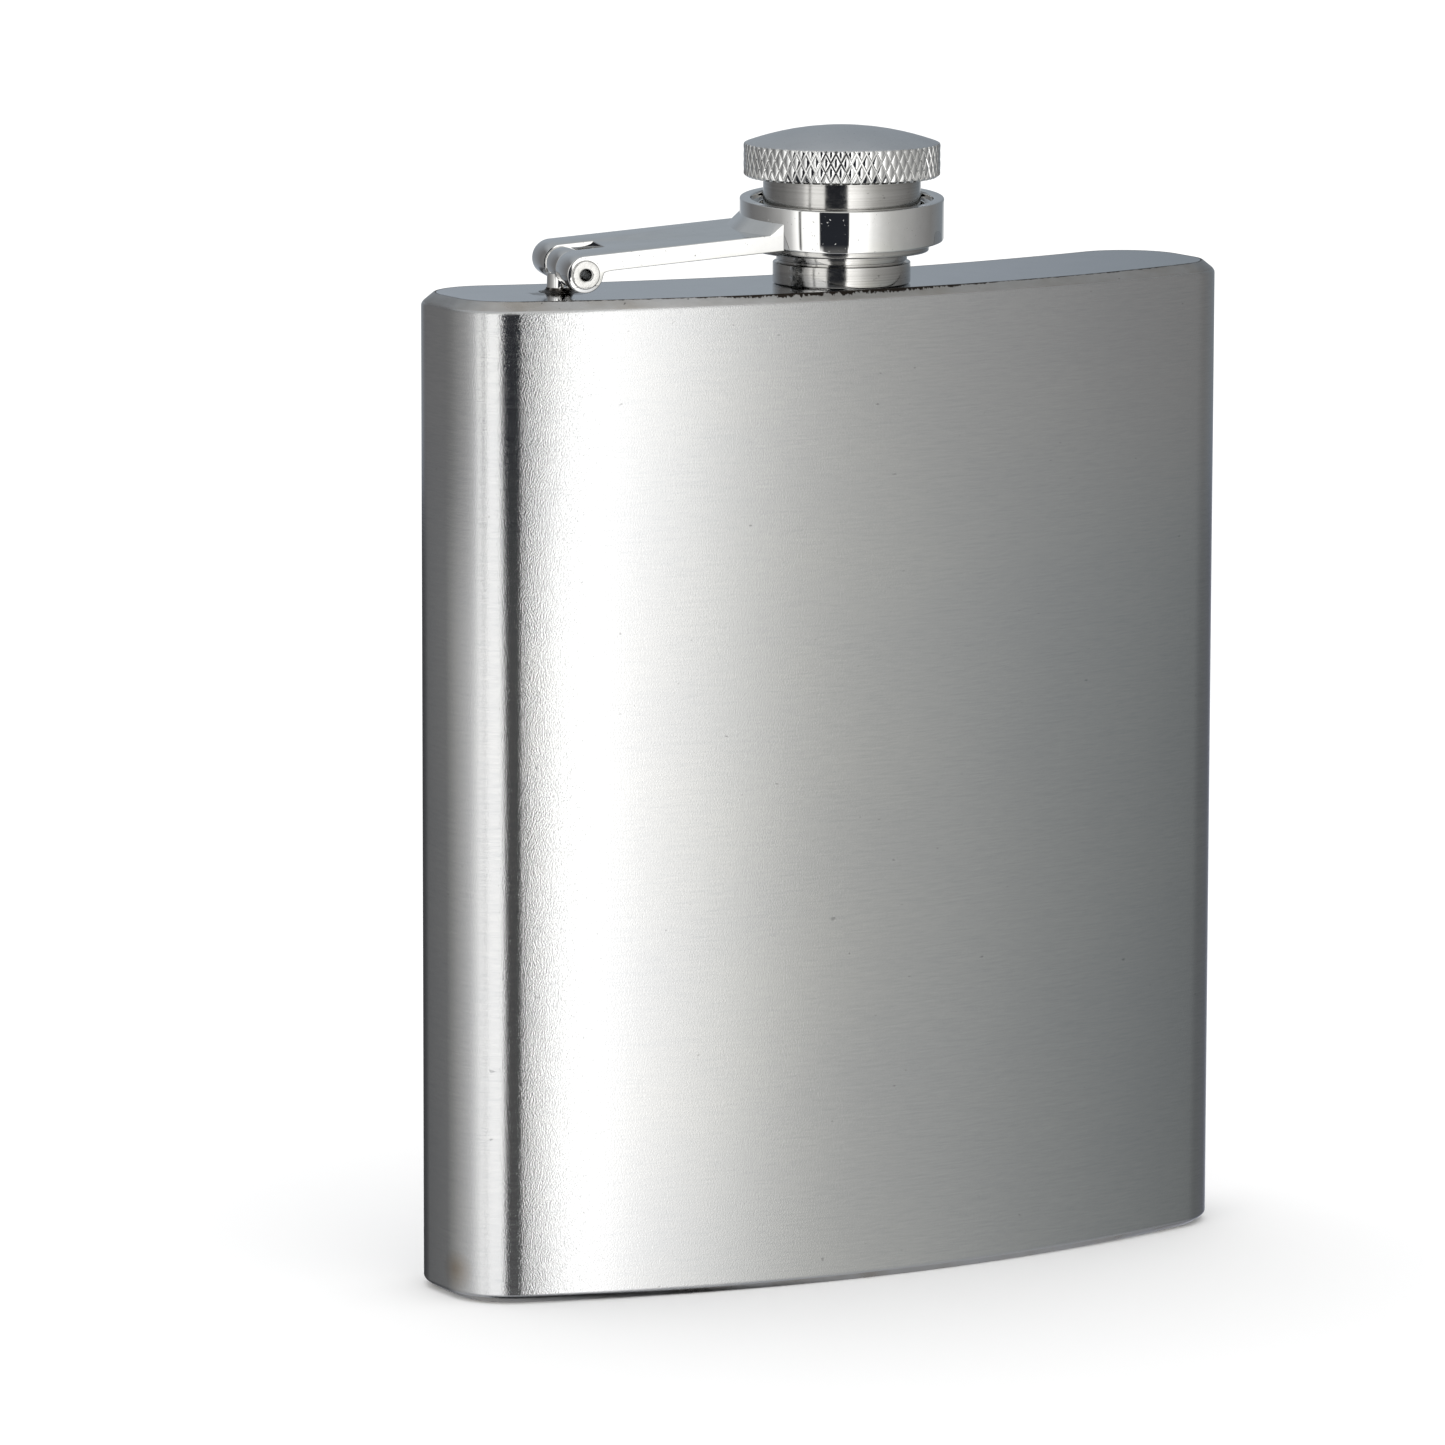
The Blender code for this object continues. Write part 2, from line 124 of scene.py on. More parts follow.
# Cap, above the top plate.
HEAD_RADIUS = 10.65 * MM
HEAD_BOTTOM = 11.55 * MM
HEAD_RIM = 15.2 * MM
DOME_TOP = 17.05 * MM
SLEEVE_RADIUS = 8.54 * MM
SLEEVE_BORE = 8.0 * MM
SLEEVE_TOP = 13.1 * MM
SLEEVE_BOTTOM = 3.45 * MM
LIP_RADIUS = 9.5 * MM
LIP_TOP = 4.75 * MM
SOCKET_RADIUS = 8.6 * MM
SOCKET_TOP = 13.2 * MM
BOSS_RADIUS = 6.95 * MM
BOSS_BOTTOM = 11.2 * MM
LINER_BOTTOM = 7.0 * MM
LINER_TOP = 12.9 * MM
LINER_CREST = 7.3 * MM
LINER_ROOT = 7.62 * MM
WASHER_TOP = 10.95 * MM
WASHER_BOTTOM = 9.5 * MM
KNURLS = 60
KNURL_ROW = 1.057 * MM
KNURL_DEPTH = 0.2 * MM
KNURL_STEPS = ((1.0, 0.0), (0.91, 0.0), (0.8, 0.1 * MM), (0.5, 0.17 * MM), (0.2, 0.2 * MM))


# ---------------------------------------------------------------- mesh helpers


def placed(name, shape):
    """An object in the scene, made from a bmesh, which is used up."""
    mesh = bpy.data.meshes.new(name)
    shape.to_mesh(mesh)
    shape.free()
    made = bpy.data.objects.new(name, mesh)
    bpy.context.scene.collection.objects.link(made)
    return made


def piece(name, shape, materials, body, cad_node, matrix=None, angle=30):
    """A finished object that rides on a body and stands for one CAD node."""
    bmesh.ops.recalc_face_normals(shape, faces=shape.faces)
    if matrix is not None:
        bmesh.ops.transform(shape, matrix=matrix, verts=shape.verts)
    made = placed(name, shape)
    for material in materials:
        made.data.materials.append(material)
    made.data.shade_smooth()
    made.data.set_sharp_from_angle(angle=math.radians(angle))
    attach(made, body)
    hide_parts(cad_node)
    return made


def skin(shape, loops, wrap=False, material=0):
    """Quads between successive loops of equal length. With wrap, the last loop joins the first."""
    pairs = list(zip(loops, loops[1:]))
    if wrap:
        pairs.append((loops[-1], loops[0]))
    for first, second in pairs:
        count = len(first)
        for here in range(count):
            there = (here + 1) % count
            face = shape.faces.new((first[here], first[there], second[there], second[here]))
            face.material_index = material


def close_ends(shape, loops):
    """A flat face over the first loop and over the last."""
    return [shape.faces.new(loops[0]), shape.faces.new(list(reversed(loops[-1])))]


def fan(shape, loop, height):
    """Triangles from a loop to a point on the axis."""
    middle = shape.verts.new((0, 0, height))
    for here, corner in enumerate(loop):
        shape.faces.new((corner, loop[(here + 1) % len(loop)], middle))


def ring(shape, radius, height, count, centre=(0.0, 0.0)):
    """A loop of vertices round an upright axis; radius is a number or a function of the angle."""
    loop = []
    for step in range(count):
        angle = 2 * math.pi * step / count
        reach = radius(angle) if callable(radius) else radius
        across = centre[0] + reach * math.cos(angle)
        along = centre[1] + reach * math.sin(angle)
        loop.append(shape.verts.new((across, along, height)))
    return loop


def bent(first, corner, second, t):
    """A point on the curve that rounds a corner."""
    return first * (1 - t) ** 2 + corner * 2 * t * (1 - t) + second * t**2


def rounded(points, radius, steps):
    """A closed profile with each corner replaced by a short curve of about that radius."""
    made = []
    count = len(points)
    for index, corner in enumerate(points):
        here = Vector(corner[:2])
        size = corner[2] if len(corner) > 2 else radius
        to_before = Vector(points[index - 1][:2]) - here
        to_after = Vector(points[(index + 1) % count][:2]) - here
        size = min(size, to_before.length * 0.45, to_after.length * 0.45)
        if size <= 1e-7:
            made.append((here.x, here.y))
            continue
        start = here + to_before.normalized() * size
        end = here + to_after.normalized() * size
        for step in range(steps + 1):
            place = bent(start, here, end, step / steps)
            made.append((place.x, place.y))
    return made


def turned(profile, count=192):
    """A closed (radius, height) profile turned round Z."""
    shape = bmesh.new()
    loops = [ring(shape, radius, height, count) for radius, height in profile]
    skin(shape, loops, wrap=True)
    return shape


def boolean(first, second, operation):
    """The exact Boolean of two bmeshes, as a new bmesh. Both are used up."""
    for shape in (first, second):
        bmesh.ops.recalc_face_normals(shape, faces=shape.faces)
    target = placed("target_form", first)
    other = placed("other_form", second)
    modifier = target.modifiers.new("combine", "BOOLEAN")
    modifier.operation = operation
    modifier.object = other
    modifier.solver = "EXACT"
    bpy.context.view_layer.update()
    evaluated = target.evaluated_get(bpy.context.evaluated_depsgraph_get())
    mesh = bpy.data.meshes.new_from_object(evaluated)
    result = bmesh.new()
    result.from_mesh(mesh)
    bmesh.ops.remove_doubles(result, verts=result.verts, dist=1e-7)
    bmesh.ops.dissolve_degenerate(result, edges=result.edges, dist=1e-7)
    for used in (target, other):
        bpy.data.objects.remove(used, do_unlink=True)
    bpy.data.meshes.remove(mesh)
    return result


def soften(shape, chosen, offset, segments):
    """Bevels the chosen edges."""
    bmesh.ops.bevel(
        shape,
        geom=list(chosen),
        offset=offset,
        offset_type="OFFSET",
        segments=segments,
        profile=0.5,
        affect="EDGES",
        clamp_overlap=True,
    )


def block(low, high):
    """A box between two corners."""
    shape = bmesh.new()
    bmesh.ops.create_cube(shape, size=1.0)
    middle = (Vector(low) + Vector(high)) / 2
    size = Vector(high) - Vector(low)
    for corner in shape.verts:
        corner.co = Vector((corner.co.x * size.x, corner.co.y * size.y, corner.co.z * size.z)) + middle
    return shape


# ------------------------------------------------------------------- materials


class Nodes:
    """A material's node tree, with short ways to add what these metals need."""

    def __init__(self, name, colour, roughness, metallic=1.0):
        self.material = bpy.data.materials.new(name)
        self.material.use_nodes = True
        self.material.diffuse_color = (*colour, 1.0)
        self.tree = self.material.node_tree
        self.shader = self.tree.nodes["Principled BSDF"]
        self.shader.inputs["Base Color"].default_value = (*colour, 1.0)
        self.shader.inputs["Roughness"].default_value = roughness
        self.shader.inputs["Metallic"].default_value = metallic
        self.place = self.add("ShaderNodeTexCoord").outputs["Object"]

    def add(self, kind, values=None, **settings):
        """A node with its settings, and the values of some of its inputs."""
        node = self.tree.nodes.new(kind)
        for key, value in settings.items():
            setattr(node, key, value)
        for key, value in (values or {}).items():
            node.inputs[key].default_value = value
        return node

    def link(self, source, target):
        self.tree.links.new(source, target)

    def feed(self, socket, value):
        """Gives a socket a number, a colour or another node's output."""
        if isinstance(value, (int, float)):
            socket.default_value = value
        elif isinstance(value, tuple):
            socket.default_value = (*value, 1.0)
        else:
            self.link(value, socket)

    def axes(self):
        """The place's three coordinates."""
        node = self.add("ShaderNodeSeparateXYZ")
        self.link(self.place, node.inputs["Vector"])
        return node.outputs

    def finished(self, colour, roughness, normal):
        for name, source in (("Base Color", colour), ("Roughness", roughness), ("Normal", normal)):
            self.link(source, self.shader.inputs[name])
        return self.material

    def stretched(self, scale, detail=3.0, roughness=0.55, distortion=0.0):
        """Noise whose features are 1/scale long along each axis, or along all three."""
        scale = scale if isinstance(scale, tuple) else (scale, scale, scale)
        mapping = self.add("ShaderNodeMapping", {"Scale": scale})
        self.link(self.place, mapping.inputs["Vector"])
        pattern = {"Scale": 1.0, "Detail": detail, "Roughness": roughness, "Distortion": distortion}
        texture = self.add("ShaderNodeTexNoise", pattern)
        self.link(mapping.outputs["Vector"], texture.inputs["Vector"])
        return texture.outputs["Fac"]

    def ramp(self, source, stops):
        """A colour for each value of the source; a stop's value is a grey or a colour."""
        node = self.add("ShaderNodeValToRGB")
        elements = node.color_ramp.elements
        while len(elements) < len(stops):
            elements.new(1.0)
        for element, (position, value) in zip(elements, stops):
            element.position = position
            colour = value if isinstance(value, tuple) else (value, value, value)
            element.color = (*colour, 1.0)
        self.link(source, node.inputs["Fac"])
        return node.outputs["Color"]

    def scaled(self, source, low, high, from_low=0.25, from_high=0.75):
        """The source's range from_low to from_high, spread over low to high."""
        limits = {"From Min": from_low, "From Max": from_high, "To Min": low, "To Max": high}
        node = self.add("ShaderNodeMapRange", limits)
        self.link(source, node.inputs["Value"])
        return node.outputs["Result"]

    def math(self, operation, first, second):
        node = self.add("ShaderNodeMath", operation=operation)
        for socket, value in zip(node.inputs, (first, second)):
            self.feed(socket, value)
        return node.outputs["Value"]

    def mix(self, kind, factor, first, second):
        node = self.add("ShaderNodeMix", data_type="RGBA", blend_type=kind)
        for name, value in (("Factor", factor), ("A", first), ("B", second)):
            self.feed(next(s for s in node.inputs if s.name == name and s.enabled), value)
        return next(s for s in node.outputs if s.enabled)

    def times(self, first, second):
        return self.mix("MULTIPLY", 1.0, first, second)

    def blend(self, factor, first, second):
        return self.mix("MIX", factor, first, second)

    def bump(self, height, distance, before=None):
        node = self.add("ShaderNodeBump", {"Strength": 1.0, "Distance": distance})
        self.link(height, node.inputs["Height"])
        if before is not None:
            self.link(before, node.inputs["Normal"])
        return node.outputs["Normal"]

    def grain(self, amount):
        """Stretches the gloss up and down, across a grain that runs round Z."""
        tangent = self.add("ShaderNodeTangent", direction_type="RADIAL", axis="Z")
        self.link(tangent.outputs["Tangent"], self.shader.inputs["Tangent"])
        self.shader.inputs["Anisotropic"].default_value = amount
        self.shader.inputs["Anisotropic Rotation"].default_value = QUARTER_TURN


def one_noise(name, colour, roughness, noise_settings, stops, gloss, relief, metallic=1.0):
    """A material whose tone, gloss and relief all follow one noise."""
    made = Nodes(name, colour, roughness, metallic)
    field = made.stretched(*noise_settings)
    return made.finished(made.ramp(field, stops), made.scaled(field, *gloss), made.bump(field, relief))


def brushed_steel():
    """Sheet with a fine level grain; the gloss spreads up and down, across the grain."""
    made = Nodes("brushed_steel", (0.62, 0.62, 0.62), 0.3)
    fine = made.stretched((600, 600, 8500), 2.0, 0.6)
    coarse = made.stretched((220, 220, 3800), 3.0, 0.6)
    cloud = made.stretched((38, 38, 60), 3.0, 0.5)
    streaks = made.math("ADD", made.math("MULTIPLY", fine, 0.6), made.math("MULTIPLY", coarse, 0.4))
    greys = [(0.32, (0.64, 0.645, 0.65)), (0.5, 0.69), (0.68, (0.73, 0.73, 0.725))]
    tone = made.ramp(streaks, greys)
    veil = made.ramp(cloud, [(0.3, (0.95, 0.955, 0.965)), (0.7, (1.0, 1.0, 0.995))])
    specks = made.stretched((900, 900, 1500), 1.0, 0.5)
    dots = made.ramp(specks, [(0.17, 0.72), (0.215, 1.0)])
    colour = made.times(made.times(tone, veil), dots)
    away = made.add("ShaderNodeVectorMath", {1: HEAT_SPOT}, operation="DISTANCE")
    made.link(made.place, away.inputs[0])
    spread = made.math("ADD", away.outputs["Value"], made.scaled(cloud, -1.2 * MM, 1.2 * MM))
    heat = made.scaled(spread, 0.55, 0.0, 0.4 * MM, 2.6 * MM)
    colour = made.blend(heat, colour, (0.42, 0.31, 0.19))
    sand = made.stretched((6500, 6500, 7500), 1.0, 0.6)
    rim = made.scaled(made.axes()["Z"], 0.0, 1.0, TOP - 7 * MM, TOP - 1.5 * MM)
    ripple = made.math("MULTIPLY", made.stretched((420, 420, 1100), 3.0, 0.6), rim)
    relief = made.bump(ripple, 2.2e-5, made.bump(sand, 1.6e-5, made.bump(streaks, 1.2e-6)))
    made.grain(0.95)
    return made.finished(colour, made.scaled(streaks, 0.15, 0.22, 0.35, 0.65), relief)


def ground_edge():
    """The ground and lightly polished chamfer, with weld tint and small pits, and a near-black band by the
    neck that is partly weld burn and partly painted shade of the seam.
    """
    made = Nodes("ground_edge", (0.6, 0.59, 0.57), 0.28)
    lines = made.stretched((500, 500, 2500), 2.0, 0.6)
    patch = made.stretched((120, 120, 200), 3.0, 0.55)
    pits = made.stretched((1700, 1700, 2200), 1.0, 0.5)
    tints = [(0.34, (0.5, 0.47, 0.43)), (0.5, (0.6, 0.59, 0.575)), (0.66, 0.64)]
    tone = made.ramp(patch, tints)
    dots = made.ramp(pits, [(0.2, 0.45), (0.26, 1.0)])
    streak = made.ramp(lines, [(0.3, 0.92), (0.7, 1.0)])
    colour = made.times(made.times(tone, dots), streak)
    # A near-black band along the top of the chamfer near the neck, on the belly side: partly weld burn,
    # partly painted shade of the seam there.
    crust = made.stretched((1500, 1500, 500), 4.0, 0.75)
    across, along, up = made.axes()
    distance = made.math("ABSOLUTE", made.math("SUBTRACT", across, AXIS_X - 3 * MM), 0.0)
    near = made.scaled(distance, 0.5 * MM, 0.1 * MM, 6 * MM, 19 * MM)
    near = made.math("MULTIPLY", near, made.scaled(along, 1.0, 0.12, -4 * MM, 0.0))
    reach = made.math("MULTIPLY", near, made.scaled(crust, 0.15, 1.0, 0.38, 0.62))
    depth = made.math("SUBTRACT", made.math("SUBTRACT", TOP, up), reach)
    darkened = made.scaled(depth, 1.0, 0.0, -0.04 * MM, 0.04 * MM)
    colour = made.blend(darkened, colour, (0.045, 0.036, 0.03))
    dents = made.stretched((520, 520, 1300), 3.0, 0.65)
    relief = made.bump(pits, 1.2e-5, made.bump(dents, 3e-5, made.bump(lines, 1.5e-6)))
    made.grain(0.4)
    return made.finished(colour, made.scaled(patch, 0.24, 0.36), relief)


def polished_steel():
    """Mirror-polished sheet, not quite flat, with hairline scratches and a dark patch by the stud that is
    partly painted shade, partly weld burn.
    """
    made = Nodes("polished_steel", (0.6, 0.62, 0.66), 0.09)
    wave = made.stretched(110, 1.0, 0.5)
    scratch = made.stretched((150, 3200, 400), 2.0, 0.6, 0.4)
    haze = made.stretched(260, 4.0, 0.6)
    tone = made.ramp(haze, [(0.3, (0.7, 0.71, 0.73)), (0.7, (0.77, 0.78, 0.8))])
    # A dark patch beside the stud's foot: partly painted shade, partly weld burn.
    foot = ARM @ Vector((STUD_OFFSET, 0, 0)) + Vector((-0.8, -1.4, 0)) * MM
    x, y = made.axes()[:2]
    across = made.math("MULTIPLY", made.math("SUBTRACT", x, foot.x), 1 / (3.3 * MM))
    along = made.math("MULTIPLY", made.math("SUBTRACT", y, foot.y), 1 / (2.6 * MM))
    span = made.math("ADD", made.math("MULTIPLY", across, across), made.math("MULTIPLY", along, along))
    edge = made.math("ADD", span, made.scaled(made.stretched(900, 3.0, 0.6), -0.5, 0.5))
    painted_shade_and_burn = made.scaled(edge, 1.0, 0.0, 0.75, 1.0)
    tone = made.blend(painted_shade_and_burn, tone, (0.05, 0.042, 0.036))
    relief = made.bump(scratch, 4e-7, made.bump(wave, 2.2e-5))
    return made.finished(tone, made.scaled(haze, 0.05, 0.14), relief)


def turned_steel():
    """Lathe-turned tube with faint rings and small marks."""
    made = Nodes("turned_steel", (0.66, 0.65, 0.63), 0.16)
    rings = made.stretched((40, 40, 7000), 2.0, 0.6)
    mark = made.stretched((900, 900, 1400), 2.0, 0.6)
    tone = made.ramp(rings, [(0.3, (0.5, 0.49, 0.47)), (0.7, (0.64, 0.63, 0.61))])
    dots = made.ramp(mark, [(0.24, 0.5), (0.33, 1.0)])
    colour = made.times(tone, dots)
    made.grain(0.5)
    relief = made.bump(mark, 1.5e-6, made.bump(rings, 1e-6))
    return made.finished(colour, made.scaled(mark, 0.1, 0.2), relief)


def plated_zinc():
    """Bright plated casting: a clean mirror with a faint ripple and a few pits."""
    made = Nodes("plated_zinc", (0.86, 0.85, 0.83), 0.05)
    ripple = made.stretched(320, 2.0, 0.5)
    pits = made.stretched(5200, 0.0, 0.5)
    haze = made.stretched(500, 3.0, 0.6)
    tone = made.ramp(haze, [(0.3, (0.82, 0.815, 0.8)), (0.7, (0.88, 0.875, 0.86))])
    dots = made.ramp(pits, [(0.13, 0.6), (0.2, 1.0)])
    colour = made.times(tone, dots)
    relief = made.bump(dots, 3e-5, made.bump(ripple, 2.5e-6))
    return made.finished(colour, made.scaled(haze, 0.012, 0.05), relief)


def rolled_rivet():
    """The rivet's rolled ends: plated, but dulled and dented by the tool."""
    made = Nodes("rolled_rivet", (0.78, 0.77, 0.74), 0.2)
    dents = made.stretched(1900, 2.0, 0.5)
    haze = made.stretched(700, 3.0, 0.6)
    tone = made.ramp(haze, [(0.3, (0.6, 0.595, 0.575)), (0.7, (0.76, 0.75, 0.73))])
    return made.finished(tone, made.scaled(haze, 0.16, 0.3), made.bump(dents, 4e-5))


def weld_flare():
    """Blackened weld metal, glossy in places, at the foot of the stud."""
    blacks = [(0.4, (0.03, 0.026, 0.024)), (0.56, (0.11, 0.1, 0.09)), (0.66, (0.6, 0.58, 0.55))]
    ripple = ((1500, 1500, 900), 3.0, 0.6)
    return one_noise("weld_flare", (0.1, 0.09, 0.085), 0.2, ripple, blacks, (0.12, 0.3), 1e-4)


def satin_cap():
    """Fine spun satin on the dome."""
    made = Nodes("satin_cap", (0.56, 0.585, 0.61), 0.32)
    grit = made.stretched(5200, 2.0, 0.6)
    cloud = made.stretched(200, 3.0, 0.5)
    tone = made.ramp(cloud, [(0.3, (0.73, 0.74, 0.75)), (0.7, (0.78, 0.79, 0.8))])
    fine = made.ramp(grit, [(0.3, 0.94), (0.7, 1.0)])
    colour = made.times(tone, fine)
    return made.finished(colour, made.scaled(grit, 0.27, 0.37), made.bump(grit, 1.2e-6))


def knurled_steel():
    """The bright knurl, rolled and then lightly polished."""
    greys = [(0.3, (0.76, 0.76, 0.75)), (0.7, (0.87, 0.87, 0.86))]
    return one_noise("knurled_steel", (0.84, 0.84, 0.82), 0.14, (900, 3.0, 0.6), greys, (0.05, 0.13), 2e-6)


def seam_oxide_and_shade():
    """Heat-darkened metal in the seam round the top plate, painted near-black so that the narrow gap reads
    dark: partly weld oxide, partly painted shade.
    """
    browns = [(0.35, (0.02, 0.017, 0.015)), (0.62, (0.09, 0.075, 0.062)), (0.7, (0.3, 0.28, 0.25))]
    crust = (1400, 3.0, 0.6)
    return one_noise("seam_oxide_and_shade", (0.06, 0.05, 0.045), 0.55, crust, browns, (0.4, 0.65), 2e-5, 0.4)


def silicone():
    """Milky sealing washer."""
    whites = [(0.3, (0.72, 0.72, 0.68)), (0.7, (0.82, 0.82, 0.79))]
    return one_noise("silicone", (0.78, 0.78, 0.74), 0.5, (500, 3.0, 0.5), whites, (0.42, 0.58), 1e-5, 0.0)


# ------------------------------------------------------------------------ body


def outline():
    """Points and outward normals round the body, anticlockwise from above."""
    half = WIDTH / 2
    front_radius = (half**2 + FRONT_SAGITTA**2) / (2 * FRONT_SAGITTA)
    back_radius = (half**2 + BACK_SAGITTA**2) / (2 * BACK_SAGITTA)
    front_centre = front_radius - THICKNESS / 2
    back_centre = back_radius + THICKNESS / 2
    corner_x = half - END_RADIUS
    front_y = front_centre - math.sqrt((front_radius - END_RADIUS) ** 2 - corner_x**2)
    back_y = back_centre - math.sqrt((back_radius + END_RADIUS) ** 2 - corner_x**2)
    front_end = math.asin(corner_x / (front_radius - END_RADIUS))
    back_end = math.asin(corner_x / (back_radius + END_RADIUS))
    found = []

    def arc(centre, radius, start, stop, steps, outward=1.0):
        for step in range(steps):
            angle = start + (stop - start) * step / steps
            direction = Vector((math.cos(angle), math.sin(angle)))
            found.append((Vector(centre) + radius * direction, outward * direction))

    down = -math.pi / 2
    arc((0, front_centre), front_radius, down - front_end, down + front_end, 96)
    arc((corner_x, front_y), END_RADIUS, down + front_end, 0, 28)
    arc((corner_x, back_y), END_RADIUS, 0, math.pi / 2 + back_end, 36)
    arc((0, back_centre), back_radius, down + back_end, down - back_end, 96, -1.0)
    arc((-corner_x, back_y), END_RADIUS, math.pi / 2 - back_end, math.pi, 36)
    arc((-corner_x, front_y), END_RADIUS, math.pi, math.pi * 1.5 - front_end, 28)
    return found


OUTLINE = outline()


def chamfer(x):
    """The ground edge is narrow across the middle and wider round the ends."""
    share = (abs(x) / (WIDTH / 2)) ** 2.5
    return INSET_MIDDLE + (INSET_ENDS - INSET_MIDDLE) * share


def body_loop(shape, inset, height):
    """A level loop round the body; inset is a function of the chamfer's width there."""
    loop = []
    for point, normal in OUTLINE:
        place = point - inset(chamfer(point.x)) * normal
        loop.append(shape.verts.new((place.x, place.y, height)))
    return loop


def rim_loops(shape, edge, drop, turn):
    """Loops from the wall, over the ground chamfer, on to the flat land. turn is +1 at the top."""
    soft = 0.3 * MM
    crisp = 0.1 * MM
    loops = []
    corner = edge - turn * drop
    for t in (0.0, 0.25, 0.5, 0.75, 1.0):

        def inset(width, t=t):
            return bent(0.0, 0.0, width * soft / drop, t)

        loops.append(body_loop(shape, inset, bent(corner - turn * soft, corner, corner + turn * soft, t)))
    for t in (0.0, 0.5, 1.0):

        def inset(width, t=t):
            return bent(width - width * crisp / drop, width, width + crisp, t)

        loops.append(body_loop(shape, inset, bent(edge - turn * crisp, edge, edge, t)))
    return loops


def body_shell(steel, ground, oxide_and_shade):
    """The drawn sheet wall with a ground chamfer at each rim, and its inside."""
    shape = bmesh.new()
    base = rim_loops(shape, 0.0, BASE_DROP, -1)
    top = rim_loops(shape, TOP, TOP_DROP, 1)

    def wall(width):
        return WALL

    def land(width):
        return width + LAND

    def thick(width):
        return max(WALL, width + LAND)

    inside = []
    for inset, height in (
        (land, TOP),
        (land, TOP - PLATE_BED),
        (thick, TOP - TOP_DROP),
        (wall, TOP - 2 * TOP_DROP),
        (wall, 2 * BASE_DROP),
        (thick, BASE_DROP),
        (land, PLATE_BED),
        (land, 0.0),
    ):
        inside.append(body_loop(shape, inset, height))
    skin(shape, list(reversed(base[3:])), material=1)
    skin(shape, list(reversed(base[:4])) + top[:4])
    skin(shape, top[3:], material=1)
    skin(shape, [top[-1], inside[0]], material=1)
    # The plate bed's wall takes the seam material: weld oxide with painted shade in the gap.
    skin(shape, [inside[0], inside[1]], material=2)
    skin(shape, inside[1:])
    skin(shape, [inside[-1], base[-1]], material=1)
    metals = [steel, ground, oxide_and_shade]
    return piece("flask_body", shape, metals, "flask", "body_shell", angle=32)


def ragged(place, size):
    """The irregular width of the seam; it is widest along the belly, below the neck."""
    slow = noise.noise(Vector((place.x * 300, place.y * 300, 3.0)))
    quick = noise.noise(Vector((place.x * 2100, place.y * 2100, 8.0)))
    near = math.exp(-(((place.x - AXIS_X + 4 * MM) / (13 * MM)) ** 2)) if place.y < AXIS_Y else 0.0
    return size * (0.45 + 0.4 * slow + 0.3 * quick) * (1 + 3.2 * near)


def plate(name, bottom, top, top_side, hole, materials, cad_node, slot):
    """A flat plate let into the rim, with a hair-thin seam round it."""
    shape = bmesh.new()
    outer = []
    for drop, extra in ((0.0, 0.05 * MM), (0.05 * MM, 0.0)):
        loop = []
        for point, normal in OUTLINE:
            inset = chamfer(point.x) + LAND + 0.02 * MM + ragged(point, 0.07 * MM) + extra
            place = point - inset * normal
            loop.append(shape.verts.new((place.x, place.y, top - drop if top_side else bottom + drop)))
        outer.append(loop)
    outer.append(body_loop(shape, lambda width: width + LAND + 0.05 * MM, bottom if top_side else top))
    # The plate's edge facing the seam takes the second material, the seam material for both plates: weld
    # oxide with painted shade in the gap.
    skin(shape, outer, material=1)
    if hole:
        levels = (outer[0][0].co.z, outer[-1][0].co.z)
        inner = [ring(shape, hole, level, 96, (AXIS_X, AXIS_Y)) for level in levels]
        skin(shape, inner)
    for index in (0, -1):
        edges = set()
        loops = [outer[index]] + ([inner[index]] if hole else [])
        for one in loops:
            for here, corner in enumerate(one):
                edges.add(shape.edges.get((corner, one[(here + 1) % len(one)])))
        bmesh.ops.triangle_fill(shape, use_beauty=True, edges=list(edges), normal=(0, 0, 1))
    return piece(name, shape, materials, "flask", cad_node)


# ------------------------------------------------------------------------ neck


def thread_radius(crest, root, height, angle, low, high):
    """A rounded trapezoid thread, right-handed, run out at both ends."""
    phase = (height / THREAD_PITCH - angle / (2 * math.pi)) % 1.0
    flank = abs(phase - 0.5) * 2
    share = min(1.0, max(0.0, (flank - 0.25) / 0.4))
    share = share * share * (3 - 2 * share)
    start, stop = (min(1.0, max(0.0, gap / (0.5 * MM))) for gap in (height - low, high - height))
    return root + (crest - root) * share * (start * stop)


def thread_loops(shape, crest, root, low, high, rows, count):
    """Loops up a thread, from low to high."""
    loops = []
    for row in range(rows + 1):
        height = low + (high - low) * row / rows

        def radius(angle, height=height):
            return thread_radius(crest, root, height, angle, low, high)

        loops.append(ring(shape, radius, height, count))
    return loops


